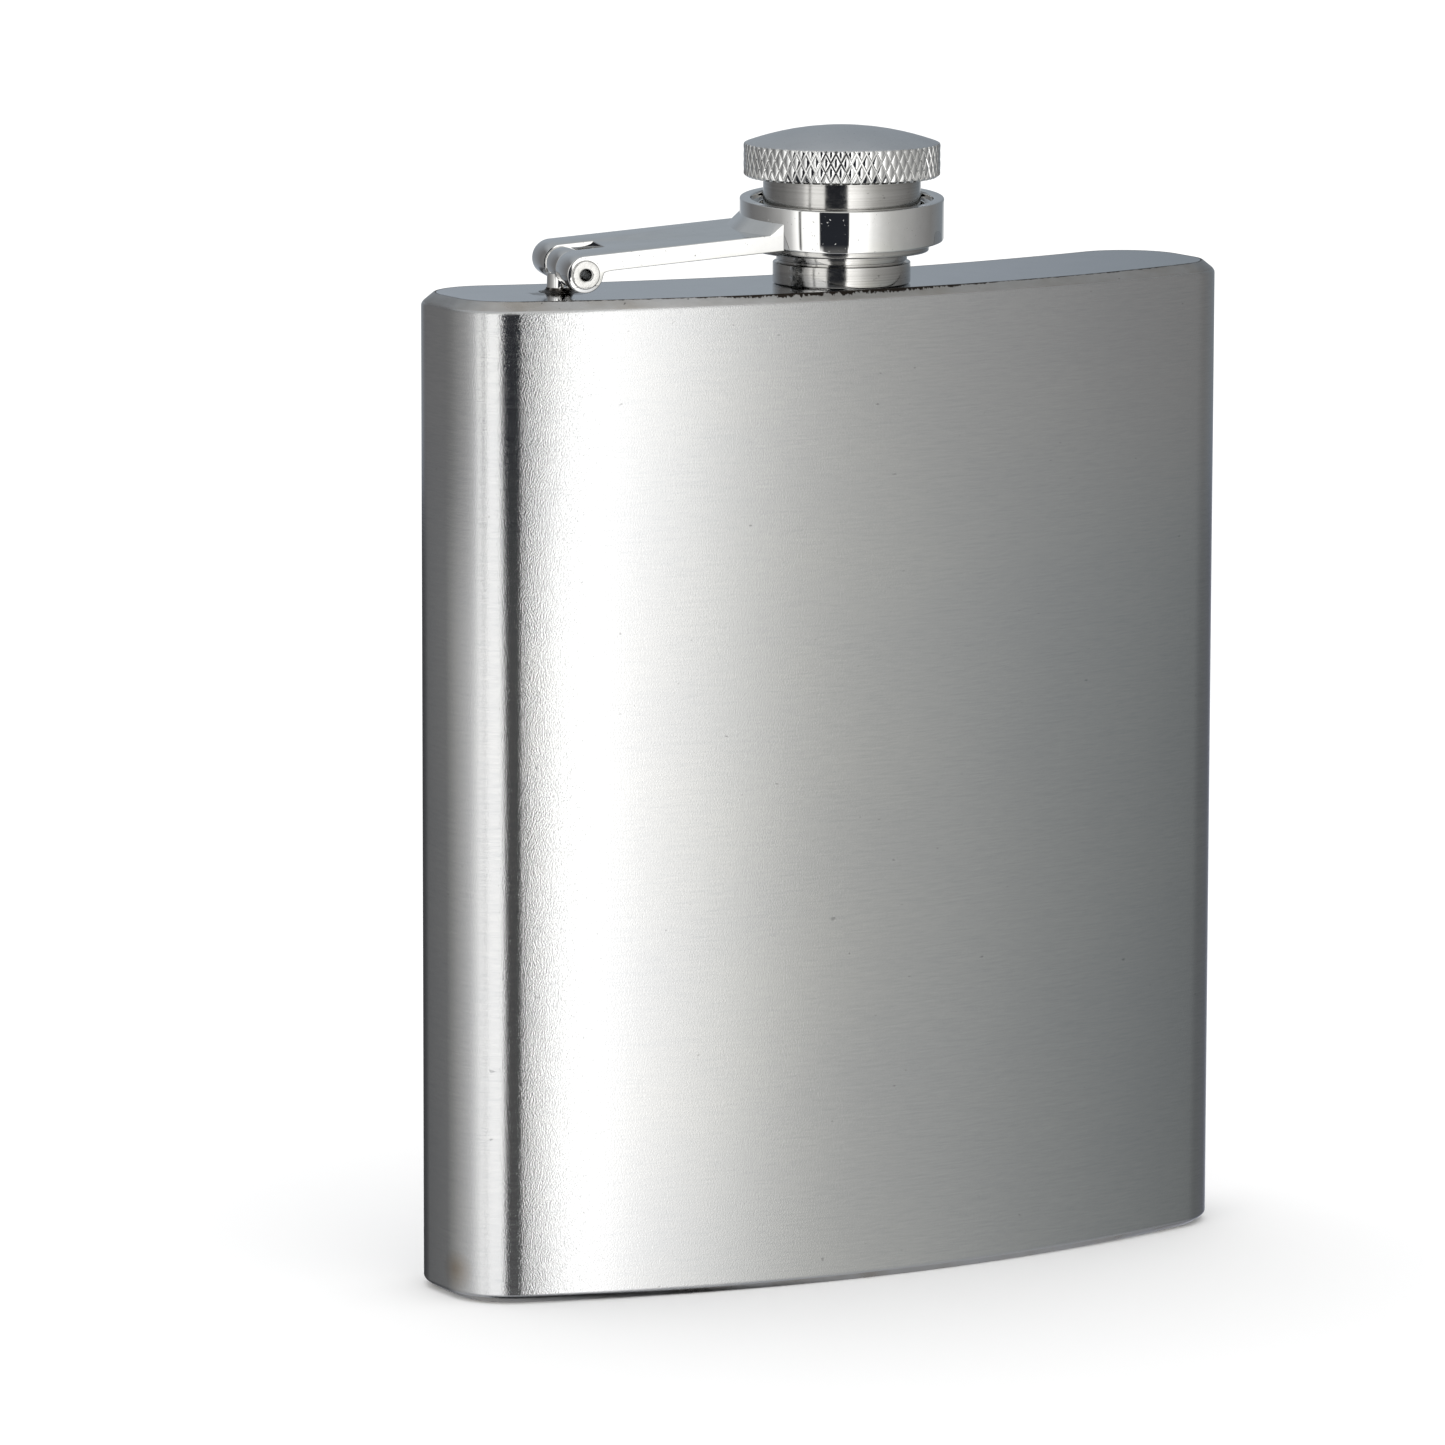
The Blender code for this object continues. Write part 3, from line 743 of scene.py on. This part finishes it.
def neck_piece(steel):
    """The welded neck: a plain band, a collar, and the thread that the cap screws on."""
    shape = bmesh.new()
    count = 160
    profile = [
        (NECK_BORE, -0.8 * MM),
        (6.45 * MM, -0.8 * MM),
        (6.45 * MM, 0.06 * MM),
        (BAND_RADIUS - 0.12 * MM, 0.06 * MM),
        (BAND_RADIUS - 0.02 * MM, 0.14 * MM),
        (BAND_RADIUS, 0.2 * MM),
        (BAND_RADIUS, BAND_TOP - 0.2 * MM),
        (BAND_RADIUS - 0.02 * MM, BAND_TOP - 0.12 * MM),
        (BAND_RADIUS - 0.1 * MM, BAND_TOP - 0.04 * MM),
        (COLLAR_RADIUS - 0.25 * MM, BAND_TOP),
        (COLLAR_RADIUS - 0.25 * MM, BAND_TOP + 0.14 * MM),
        (COLLAR_RADIUS - 0.04 * MM, BAND_TOP + 0.18 * MM),
        (COLLAR_RADIUS, BAND_TOP + 0.26 * MM),
        (COLLAR_RADIUS, COLLAR_TOP - 0.12 * MM),
        (COLLAR_RADIUS - 0.1 * MM, COLLAR_TOP),
        (THREAD_ROOT, COLLAR_TOP + 0.02 * MM),
    ]
    loops = [ring(shape, radius, height, count) for radius, height in profile]
    low = COLLAR_TOP + 0.15 * MM
    high = NECK_TOP - 0.75 * MM
    loops += thread_loops(shape, THREAD_CREST, THREAD_ROOT, low, high, 56, count)
    lip = [
        (6.35 * MM, NECK_TOP - 0.55 * MM),
        (6.45 * MM, NECK_TOP - 0.45 * MM),
        (6.45 * MM, NECK_TOP - 0.12 * MM),
        (6.4 * MM, NECK_TOP - 0.03 * MM),
        (6.3 * MM, NECK_TOP),
        (NECK_BORE + 0.12 * MM, NECK_TOP),
        (NECK_BORE + 0.03 * MM, NECK_TOP - 0.03 * MM),
        (NECK_BORE, NECK_TOP - 0.12 * MM),
    ]
    loops += [ring(shape, radius, height, count) for radius, height in lip]
    skin(shape, loops, wrap=True)
    return piece("neck_tube", shape, [steel], "flask", "neck", AT_NECK)


# --------------------------------------------------------------- hinge and arm


def arm_matrix():
    """The arm's own frame at rest: Y along the pin, X level with the ring."""
    across = PIN_AXIS
    level = Vector((0, 0, 1))
    towards = across.cross(level).normalized()
    up = towards.cross(across).normalized()
    lean = math.radians(-0.7)
    along = towards * math.cos(lean) - up * math.sin(lean)
    rise = along.cross(across).normalized()
    turn = Matrix((along, across, rise)).transposed().to_4x4()
    return Matrix.Translation(PIN_PLACE) @ turn


ARM = arm_matrix()
AT_NECK = Matrix.Translation((AXIS_X, AXIS_Y, TOP))


def arm_top(x):
    """The height of the bar's upper face at x."""
    return LUG_RADIUS / math.cos(ARM_SLOPE) + x * math.tan(ARM_SLOPE)


def arm_blade():
    """The sloping bar with rounded lugs, as one extruded side view with softened rims."""
    shape = bmesh.new()
    end = RING_REACH - BAR_END_TO_AXIS
    outline_points = [(end, arm_top(end))]
    start = math.pi / 2 + ARM_SLOPE
    stop = math.radians(352)
    steps = 44
    for step in range(steps + 1):
        angle = start + (stop - start) * step / steps
        outline_points.append((LUG_RADIUS * math.cos(angle), LUG_RADIUS * math.sin(angle)))
    join = LUG_RADIUS + 0.15 * MM
    outline_points += [
        (join, arm_top(join) - ARM_THICKNESS - 0.14 * MM),
        (join + 0.35 * MM, arm_top(join) - ARM_THICKNESS - 0.02 * MM),
        (join + 0.8 * MM, arm_top(join + 0.8 * MM) - ARM_THICKNESS),
        (end, arm_top(end) - ARM_THICKNESS),
    ]
    sides = []
    for y in (-ARM_HALF_WIDTH, ARM_HALF_WIDTH):
        sides.append([shape.verts.new((x, y, z)) for x, z in outline_points])
    skin(shape, sides)
    faces = close_ends(shape, sides)
    bmesh.ops.recalc_face_normals(shape, faces=shape.faces)
    soften(shape, {edge for face in faces for edge in face.edges}, 0.14 * MM, 3)
    return shape


def real_edges(shape, limit):
    """Convex edges whose faces meet at more than the limit, in degrees."""
    bmesh.ops.recalc_face_normals(shape, faces=shape.faces)
    shape.normal_update()
    found = []
    for edge in shape.edges:
        if len(edge.link_faces) == 2 and edge.calc_face_angle_signed(0.0) > math.radians(limit):
            found.append(edge)
    return found


def pin_cylinder(radius, half_length, count=64):
    """A cylinder along the hinge pin."""
    shape = bmesh.new()
    lying = Matrix.Rotation(math.pi / 2, 4, "X")
    size = {"radius1": radius, "radius2": radius, "depth": 2 * half_length}
    bmesh.ops.create_cone(shape, cap_ends=True, segments=count, matrix=lying, **size)
    return shape


def ring_disc(profile, count=192):
    """A solid turned about the ring's axis; the profile starts and ends on the axis."""
    shape = bmesh.new()
    loops = [ring(shape, radius, height, count) for radius, height in profile[1:-1]]
    skin(shape, loops)
    close_ends(shape, loops)
    bmesh.ops.translate(shape, vec=(RING_REACH, 0, 0), verts=shape.verts)
    return shape


def arm_piece(zinc):
    """Ring, shoulder, bar and forked hinge end in one bright casting."""
    blade = arm_blade()
    slot = block((-4 * MM, -SLOT_HALF_WIDTH, -4 * MM), (SLOT_DEPTH, SLOT_HALF_WIDTH, 4 * MM))
    blade = boolean(blade, slot, "DIFFERENCE")
    rim = []
    for edge in real_edges(blade, 40):
        if all(abs(v.co.y) < SLOT_HALF_WIDTH + 1e-6 and v.co.x < SLOT_DEPTH + 1e-6 for v in edge.verts):
            rim.append(edge)
    soften(blade, rim, CHEEK_SOFTENING, 2)
    blade = boolean(blade, pin_cylinder(PIN_HOLE, 10 * MM), "DIFFERENCE")

    low = arm_top(RING_REACH - RING_RADIUS - SHOULDER) - 0.5 * MM
    high = low + SHOULDER + 0.5 * MM
    cone = ring_disc(
        [
            (0, high + 0.3 * MM),
            (RING_RADIUS - 0.3 * MM, high + 0.3 * MM),
            (RING_RADIUS + SHOULDER + 0.5 * MM, low),
            (0, low),
        ],
        256,
    )
    trim = block(
        (5 * MM, -ARM_HALF_WIDTH + 0.004 * MM, -2 * MM),
        (RING_REACH - 3 * MM, ARM_HALF_WIDTH - 0.004 * MM, 12 * MM),
    )
    cone = boolean(cone, trim, "INTERSECT")
    side_edges = []
    for edge in real_edges(cone, 40):
        if all(abs(abs(v.co.y) - ARM_HALF_WIDTH) < 0.02 * MM for v in edge.verts):
            side_edges.append(edge)
    soften(cone, side_edges, CHEEK_SOFTENING, 3)
    blade = boolean(blade, cone, "UNION")
    middle = (RING_BORE + RING_RADIUS) / 2
    hollow = ring_disc([(0, 14 * MM), (middle, 14 * MM), (middle, -8 * MM), (0, -8 * MM)], 128)
    blade = boolean(blade, hollow, "DIFFERENCE")

    edge = 0.22 * MM
    wall = rounded(
        [
            (RING_BORE, RING_TOP, 0.3 * MM),
            (RING_RADIUS, RING_TOP, edge),
            (RING_RADIUS, RING_BOTTOM, 0.25 * MM),
            (RING_BORE, RING_BOTTOM, 0.15 * MM),
            (RING_BORE, FLANGE_BOTTOM, 0.02 * MM),
            (FLANGE_BORE, FLANGE_BOTTOM, 0.12 * MM),
            (FLANGE_BORE, FLANGE_TOP, 0.12 * MM),
            (RING_BORE, FLANGE_TOP, 0.02 * MM),
        ],
        edge,
        4,
    )
    shape = turned(wall, 256)
    bmesh.ops.translate(shape, vec=(RING_REACH, 0, 0), verts=shape.verts)
    shape = boolean(shape, blade, "UNION")
    return piece("cap_arm", shape, [zinc], "arm", "retaining_arm", ARM, 26)


def rivet_piece(rolled):
    """A tubular rivet with its ends rolled over the lugs."""
    face = ARM_HALF_WIDTH
    half = rounded(
        [
            (RIVET_BORE, face - 1.6 * MM, 0.0),
            (RIVET_BORE, face + 0.3 * MM, 0.22 * MM),
            (RIVET_ROLL - 0.05 * MM, face + 0.28 * MM, 0.16 * MM),
            (RIVET_ROLL, face, 0.05 * MM),
            (RIVET_SHANK, face, 0.02 * MM),
            (RIVET_SHANK, face - 1.6 * MM, 0.0),
        ],
        0.1 * MM,
        4,
    )
    other_half = [(radius, -height) for radius, height in reversed(half)]
    shape = turned(half + other_half, 64)
    bmesh.ops.rotate(shape, matrix=Matrix.Rotation(-math.pi / 2, 3, "X"), verts=shape.verts)
    return piece("hinge_rivet_tube", shape, [rolled], "arm", "hinge_rivet", ARM)


def post_piece(zinc, darkened):
    """The eye between the lugs and its stud, welded to the top plate."""
    eye = pin_cylinder(EYE_RADIUS, EYE_HALF_WIDTH, 96)
    soften(eye, real_edges(eye, 60), 0.15 * MM, 3)
    lift = ARM.to_3x3().inverted().to_4x4()
    plate_below = PIN_PLACE.z - TOP
    stud = bmesh.new()
    loops = []
    for height, radius, rough in (
        (-0.05, 0.4, 0.0),
        (-0.05, 2.3, 0.35),
        (0.02, 2.28, 0.35),
        (0.06, 2.0, 0.3),
        (0.14, 1.7, 0.25),
        (0.3, 1.52, 0.15),
        (0.5, 1.42, 0.06),
        (0.8, 1.36, 0.0),
        (2.0, 1.33, 0.0),
        (2.0, 0.4, 0.0),
    ):

        def reach(angle, radius=radius, rough=rough):
            wobble = noise.noise(Vector((math.cos(angle) * 1.6, math.sin(angle) * 1.6, 4.0)))
            return (radius + rough * wobble) * MM

        loops.append(ring(stud, reach, height * MM - plate_below, 64))
    skin(stud, loops)
    close_ends(stud, loops)
    bmesh.ops.transform(stud, matrix=Matrix.Translation((STUD_OFFSET, 0, 0)) @ lift, verts=stud.verts)
    shape = boolean(eye, stud, "UNION")
    shape = boolean(shape, pin_cylinder(PIN_HOLE, 6 * MM), "DIFFERENCE")
    for face in shape.faces:
        if (ARM @ face.calc_center_median()).z - TOP < WELD_HEIGHT:
            face.material_index = 1
    return piece("hinge_eye", shape, [zinc, darkened], "flask", "hinge_post", ARM, 35)


# ------------------------------------------------------------------------- cap


def knurl_sheet():
    """The diamond knurl laid out flat: x round the grip, y up, z the height of the metal."""
    shape = bmesh.new()
    pitch = 2 * math.pi * HEAD_RADIUS / KNURLS
    top = HEAD_RIM - 0.06 * MM
    half_x = pitch / 2
    for row in range(-1, 5):
        centre_y = top - 0.2 * MM - KNURL_ROW * row
        shift = half_x if row % 2 else 0.0
        for cell in range(KNURLS + 1):
            centre_x = cell * pitch + shift
            rims = []
            for share, height in KNURL_STEPS:
                rim = []
                for right, up in ((1, 0), (0, 1), (-1, 0), (0, -1)):
                    x = centre_x + share * half_x * right
                    y = centre_y + share * KNURL_ROW * up
                    rim.append(shape.verts.new((x, y, height)))
                rims.append(rim)
            skin(shape, rims)
            shape.faces.new(rims[-1])
    bmesh.ops.remove_doubles(shape, verts=shape.verts, dist=1e-6)
    span = pitch * KNURLS
    for place, normal in (
        ((0, top, 0), (0, 1, 0)),
        ((0, HEAD_BOTTOM, 0), (0, -1, 0)),
        ((pitch * 0.5, 0, 0), (-1, 0, 0)),
        ((pitch * 0.5 + span, 0, 0), (1, 0, 0)),
    ):
        geometry = list(shape.verts) + list(shape.edges) + list(shape.faces)
        cut = {"plane_co": place, "plane_no": normal, "clear_outer": True}
        bmesh.ops.bisect_plane(shape, geom=geometry, dist=1e-8, **cut)
    return shape, span, top


def grip_piece(satin, bright):
    """The cap's dome over a diamond-knurled grip, bored underneath for the sleeve."""
    shape, span, top = knurl_sheet()
    for face in shape.faces:
        face.material_index = 1
    base = HEAD_RADIUS - KNURL_DEPTH
    for corner in shape.verts:
        across, height, rise = corner.co
        angle = 2 * math.pi * across / span
        rim = max(0.0, 1 - (height - HEAD_BOTTOM) / (0.35 * MM))
        edge = max(0.0, 1 - (top - height) / (0.15 * MM))
        reach = base + rise * (1 - 0.55 * rim**2) - 0.22 * MM * rim**2 - 0.04 * MM * edge
        corner.co = Vector((reach * math.cos(angle), reach * math.sin(angle), height))
    bmesh.ops.remove_doubles(shape, verts=shape.verts, dist=2e-7)

    def border(height):
        edges = [e for e in shape.edges if e.is_boundary and abs(e.verts[0].co.z - height) < 1e-6]
        return sorted({v for e in edges for v in e.verts}, key=lambda v: math.atan2(v.co.y, v.co.x))

    def spread(loop, radius, height):
        made = []
        for corner in loop:
            flat = Vector((corner.co.x, corner.co.y)).normalized() * radius
            made.append(shape.verts.new((flat.x, flat.y, height)))
        return made

    rise = DOME_TOP - HEAD_RIM
    reach = HEAD_RADIUS - 0.12 * MM
    sphere = (reach**2 + rise**2) / (2 * rise)

    def dome(radius):
        return DOME_TOP - (sphere - math.sqrt(sphere**2 - radius**2))

    upper = border(top)
    loops = [upper, spread(upper, reach - 0.01 * MM, HEAD_RIM - 0.01 * MM)]
    for share in (0.985, 0.965, 0.93, 0.87, 0.78, 0.67, 0.55, 0.42, 0.28, 0.14, 0.05):
        loops.append(spread(upper, reach * share, dome(reach * share)))
    skin(shape, loops)
    fan(shape, loops[-1], DOME_TOP)

    lower = border(HEAD_BOTTOM)
    under = [lower]
    for radius, height in (
        (HEAD_RADIUS - 0.75 * MM, HEAD_BOTTOM),
        (SOCKET_RADIUS + 0.06 * MM, HEAD_BOTTOM),
        (SOCKET_RADIUS, HEAD_BOTTOM + 0.06 * MM),
        (SOCKET_RADIUS, SOCKET_TOP),
        (BOSS_RADIUS, SOCKET_TOP),
        (BOSS_RADIUS, BOSS_BOTTOM + 0.1 * MM),
        (BOSS_RADIUS - 0.1 * MM, BOSS_BOTTOM),
        (1.0 * MM, BOSS_BOTTOM),
    ):
        under.append(spread(lower, radius, height))
    skin(shape, list(reversed(under)))
    fan(shape, list(reversed(under[-1])), BOSS_BOTTOM)
    return piece("cap_grip", shape, [satin, bright], "cap", "cap_head", AT_NECK, 24)


def sleeve_piece(steel):
    """The plain tube under the grip, with its rolled lip."""
    profile = rounded(
        [
            (SLEEVE_BORE, SLEEVE_TOP, 0.05 * MM),
            (SLEEVE_RADIUS, SLEEVE_TOP, 0.05 * MM),
            (SLEEVE_RADIUS, LIP_TOP, 0.1 * MM),
            (LIP_RADIUS, LIP_TOP, 0.15 * MM),
            (LIP_RADIUS, SLEEVE_BOTTOM, 0.4 * MM),
            (SLEEVE_BORE, SLEEVE_BOTTOM, 0.2 * MM),
        ],
        0.1 * MM,
        5,
    )
    return piece("cap_sleeve_tube", turned(profile), [steel], "cap", "cap_sleeve", AT_NECK)


def liner_piece(steel):
    """The liner pressed into the sleeve, with the cap's thread inside it."""
    shape = bmesh.new()
    count = 160
    outer = SLEEVE_BORE - 0.02 * MM
    start = LINER_BOTTOM + 0.1 * MM
    stop = LINER_TOP - 0.4 * MM
    loops = [
        ring(shape, outer, LINER_TOP, count),
        ring(shape, outer, start, count),
        ring(shape, outer - 0.1 * MM, LINER_BOTTOM, count),
        ring(shape, 7.66 * MM, LINER_BOTTOM, count),
    ]
    loops += thread_loops(shape, LINER_CREST, LINER_ROOT, start, stop, 50, count)
    loops.append(ring(shape, LINER_ROOT, LINER_TOP, count))
    skin(shape, loops, wrap=True)
    return piece("cap_thread_liner", shape, [steel], "cap", "thread_insert", AT_NECK)


def washer_piece(rubber):
    """The sealing disc, with the ring that the neck's lip has pressed into it."""
    shape = bmesh.new()
    pressed = WASHER_BOTTOM + 0.04 * MM
    profile = [
        (0.6 * MM, WASHER_TOP),
        (6.8 * MM, WASHER_TOP),
        (6.93 * MM, WASHER_TOP - 0.1 * MM),
        (6.95 * MM, WASHER_TOP - 0.35 * MM),
        (6.93 * MM, WASHER_BOTTOM + 0.15 * MM),
        (6.82 * MM, WASHER_BOTTOM + 0.02 * MM),
        (6.65 * MM, WASHER_BOTTOM),
        (6.45 * MM, pressed),
        (6.15 * MM, pressed + 0.04 * MM),
        (5.85 * MM, pressed),
        (5.6 * MM, WASHER_BOTTOM),
        (4.0 * MM, WASHER_BOTTOM),
        (0.6 * MM, WASHER_BOTTOM),
    ]
    loops = [ring(shape, radius, height, 96) for radius, height in profile]
    skin(shape, loops)
    fan(shape, loops[0], WASHER_TOP)
    fan(shape, loops[-1], WASHER_BOTTOM)
    return piece("cap_seal", shape, [rubber], "seal", "sealing_washer", AT_NECK)


# ------------------------------------------------------------- floor and light


def floor_disc():
    """A pale matt table top, wide enough to fill every view."""
    shape = bmesh.new()
    bmesh.ops.create_circle(shape, cap_ends=True, segments=128, radius=6.0)
    made = placed("floor", shape)
    made.location = (0, 0, SHELL_LOW.z - 0.02 * MM)
    surface = Nodes("pale_table", (0.93, 0.93, 0.93), 0.9, 0.0)
    soft = surface.stretched(6, 2.0, 0.5)
    surface.link(surface.ramp(soft, [(0.3, 0.925), (0.7, 0.935)]), surface.shader.inputs["Base Color"])
    surface.shader.inputs["Specular IOR Level"].default_value = 0.0
    made.data.materials.append(surface.material)
    made.visible_glossy = False


# The brightness of the light tent against the angle round it, in degrees from the camera's side and
# positive to its right. BELOW reaches up to the middle of the body, LEVEL to its upper third, OVER
# past the neck and cap, and ABOVE covers the rest. BEHIND is where a pale zone shows at the back,
# and TINT colours the two lower bands.
BACK_LEFT = [(-180, 1.0), (-166, 0.85), (-156, 0.35), (-148, 0.05)]
BACK_RIGHT = [(150, 0.32), (160, 0.8), (180, 1.0)]
TENT_BELOW = [
    *BACK_LEFT,
    (-125, 0.07), (-108, 0.19), (-92, 0.31), (-78, 0.47), (-67, 0.62), (-58, 0.92), (-50, 1.25),
    (-46.9, 1.3), (-46.7, 0.3), (-45.7, 0.3), (-45.4, 1.3), (-22.5, 1.28), (-20.5, 0.09), (7, 0.09),
    (7.8, 2.9), (12, 2.0), (19, 1.42), (26, 1.25), (34, 0.96), (44, 0.65), (53, 0.51), (79, 0.33),
    (95, 0.25), (113, 0.15), (140, 0.14),
    *BACK_RIGHT,
]
TENT_LEVEL = [
    *BACK_LEFT,
    (-128, 0.08), (-112, 0.17), (-95, 0.36), (-80, 0.52), (-66, 0.64), (-58, 0.76), (-50, 1.3),
    (-47, 1.3), (-46.8, 0.2), (-45.7, 0.2), (-45.5, 1.3), (-22.3, 1.28), (-20.4, 0.14), (6, 0.14),
    (6.8, 2.8), (13, 1.85), (21, 1.42), (28, 1.3), (34, 1.0), (44, 0.74), (67, 0.46), (90, 0.32),
    (115, 0.17), (140, 0.15),
    *BACK_RIGHT,
]
TENT_OVER = [
    (-180, (0.315, 0.35, 0.385)), (-155, (0.33, 0.365, 0.405)), (-120, (0.16, 0.16, 0.165)), (-92, 0.22),
    (-70, 0.38), (-58, 0.62), (-51, (1.2, 1.2, 1.19)), (-48.0, (1.3, 1.3, 1.29)), (-47.7, 0.03),
    (-45.2, 0.03), (-44.9, (1.3, 1.3, 1.29)), (-24.6, (1.25, 1.25, 1.24)), (-24, (0.02, 0.022, 0.028)),
    (7.0, (0.02, 0.022, 0.028)), (7.7, (2.0, 2.0, 1.99)), (14, (1.7, 1.7, 1.69)),
    (28, (1.25, 1.25, 1.24)), (34, (0.95, 0.95, 0.94)), (44, (0.68, 0.68, 0.67)), (55, (0.5, 0.5, 0.49)),
    (67, (0.42, 0.42, 0.415)), (90, 0.3), (115, 0.2), (140, (0.2, 0.22, 0.24)),
    (160, (0.235, 0.265, 0.295)), (170, (0.28, 0.31, 0.345)), (180, (0.315, 0.35, 0.385)),
]
TENT_ABOVE = [
    (-180, (0.33, 0.36, 0.39)), (-110, (0.4, 0.42, 0.44)), (-60, (0.6, 0.61, 0.61)),
    (-10, (0.66, 0.66, 0.65)), (8, (0.85, 0.85, 0.84)), (28, (0.75, 0.75, 0.74)), (40, (0.5, 0.5, 0.49)),
    (52, (0.3, 0.3, 0.29)), (65, (0.3, 0.3, 0.295)), (80, (0.36, 0.37, 0.37)), (120, (0.34, 0.35, 0.36)),
    (160, (0.28, 0.31, 0.34)), (180, (0.33, 0.36, 0.39)),
]
TENT_BEHIND = [(-180, 1.0), (-167, 0.9), (-155, 0.0), (150, 0.0), (164, 0.9), (180, 1.0)]
TENT_TINT = [
    (-180, (0.93, 0.97, 1.1)), (-125, (0.97, 0.99, 1.04)), (-95, (1.0, 1.0, 0.98)), (-70, 1.0),
    (20, (1.0, 0.995, 0.985)), (45, (1.0, 1.0, 0.96)), (70, (0.985, 1.01, 0.995)),
    (100, (0.955, 1.01, 1.02)), (122, (0.95, 1.0, 1.03)), (140, (0.92, 0.97, 1.12)),
    (180, (0.93, 0.97, 1.1)),
]
TENT_PROFILE = ((0.13, -0.3), (0.13, 0.3), (0.12, 0.36), (0.09, 0.4), (0.045, 0.42), (0.001, 0.425))
CAMERA_PLACE = Vector((-0.4885, -0.85942, 0.21492))
CAMERA_FORWARD = Vector((0.47604, 0.86568, -0.15486))
CAMERA_UP = Vector((0.07275, 0.13672, 0.98793))
CAMERA_LENS = 227.89
ROOM_LIGHT = 1.22


def tent():
    """A light tent round the flask, seen only in reflections."""
    shape = bmesh.new()
    loops = [ring(shape, radius, height, 128) for radius, height in TENT_PROFILE]
    skin(shape, list(reversed(loops)))
    made = placed("light_tent", shape)
    made.location = (AXIS_X, AXIS_Y, 0)
    made.rotation_euler = (0, 0, math.atan2(CAMERA_FORWARD.y, CAMERA_FORWARD.x) - math.pi / 2)
    surface = Nodes("tent_light", (1, 1, 1), 1.0, 0.0)
    across, along, up = surface.axes()
    turn = surface.math("ARCTAN2", across, surface.math("MULTIPLY", along, -1.0))
    share = surface.math("ADD", surface.math("MULTIPLY", turn, 1 / (2 * math.pi)), 0.5)

    def round_about(table):
        return surface.ramp(share, [((angle + 180) / 360, value) for angle, value in table])

    def between(start, stop):
        """Rises from nothing to one between two heights."""
        return surface.scaled(up, 0.0, 1.0, start, stop)

    def until(start, stop):
        """Falls from one to nothing between two heights."""
        return surface.scaled(up, 1.0, 0.0, start, stop)

    light = round_about(TENT_BELOW)
    upward = ((TENT_LEVEL, 0.045, 0.085), (TENT_OVER, 0.07, 0.078), (TENT_ABOVE, 0.16, 0.19))
    for table, start, stop in upward:
        light = surface.blend(between(start, stop), light, round_about(table))
    behind = surface.math("MULTIPLY", until(0.106, 0.112), round_about(TENT_BEHIND))
    light = surface.blend(behind, light, (0.75, 0.76, 0.77))
    tinted = surface.times(light, round_about(TENT_TINT))
    light = surface.blend(until(0.072, 0.086), light, tinted)
    light = surface.blend(between(0.24, 0.36), light, (0.6, 0.61, 0.62))
    light = surface.blend(until(-0.11, -0.06), light, (0.4, 0.41, 0.43))
    emission = surface.add("ShaderNodeEmission")
    surface.link(light, emission.inputs["Color"])
    output = surface.tree.nodes["Material Output"]
    surface.link(emission.outputs["Emission"], output.inputs["Surface"])
    made.data.materials.append(surface.material)
    for rays in ("camera", "diffuse", "shadow", "transmission", "volume_scatter"):
        setattr(made, "visible_" + rays, False)


def surroundings():
    """Even white light from all round, for the table and the background."""
    world = bpy.data.worlds.new("white_room")
    world.use_nodes = True
    background = world.node_tree.nodes["Background"]
    background.inputs["Color"].default_value = (1.0, 1.0, 1.0, 1.0)
    background.inputs["Strength"].default_value = ROOM_LIGHT
    bpy.context.scene.world = world
    world.cycles_visibility.glossy = False


def camera():
    """The photo's camera, as it was fitted to the flask's edges and ellipses."""
    data = bpy.data.cameras.new("camera")
    data.sensor_width = 36.0
    data.lens = CAMERA_LENS
    data.clip_start = 0.05
    data.clip_end = 20.0
    made = bpy.data.objects.new("camera", data)
    bpy.context.scene.collection.objects.link(made)
    back = -CAMERA_FORWARD.normalized()
    right = CAMERA_UP.cross(back).normalized()
    up = back.cross(right)
    turn = Matrix((right, up, back)).transposed().to_4x4()
    made.matrix_world = Matrix.Translation(CAMERA_PLACE) @ turn
    bpy.context.scene.camera = made


def main():
    brushed = brushed_steel()
    ground = ground_edge()
    mirror = polished_steel()
    lathe = turned_steel()
    zinc = plated_zinc()
    satin = satin_cap()
    bright = knurled_steel()
    oxide_and_shade = seam_oxide_and_shade()
    rubber = silicone()

    body_shell(brushed, ground, oxide_and_shade)
    top = (TOP - PLATE_SHEET, TOP - PLATE_SUNK, True, NECK_HOLE)
    base = (PLATE_SUNK, PLATE_SHEET, False, 0.0)
    plate("top_plate_sheet", *top, (mirror, oxide_and_shade), "top_plate", "polished_steel")
    plate("base_plate_sheet", *base, (brushed, oxide_and_shade), "bottom_plate", "brushed_steel")
    neck_piece(lathe)
    post_piece(zinc, weld_flare())
    rivet_piece(rolled_rivet())
    arm_piece(zinc)
    grip_piece(satin, bright)
    sleeve_piece(lathe)
    liner_piece(lathe)
    washer_piece(rubber)

    floor_disc()
    tent()
    surroundings()
    camera()
    bpy.context.scene.view_settings.view_transform = "Standard"


main()
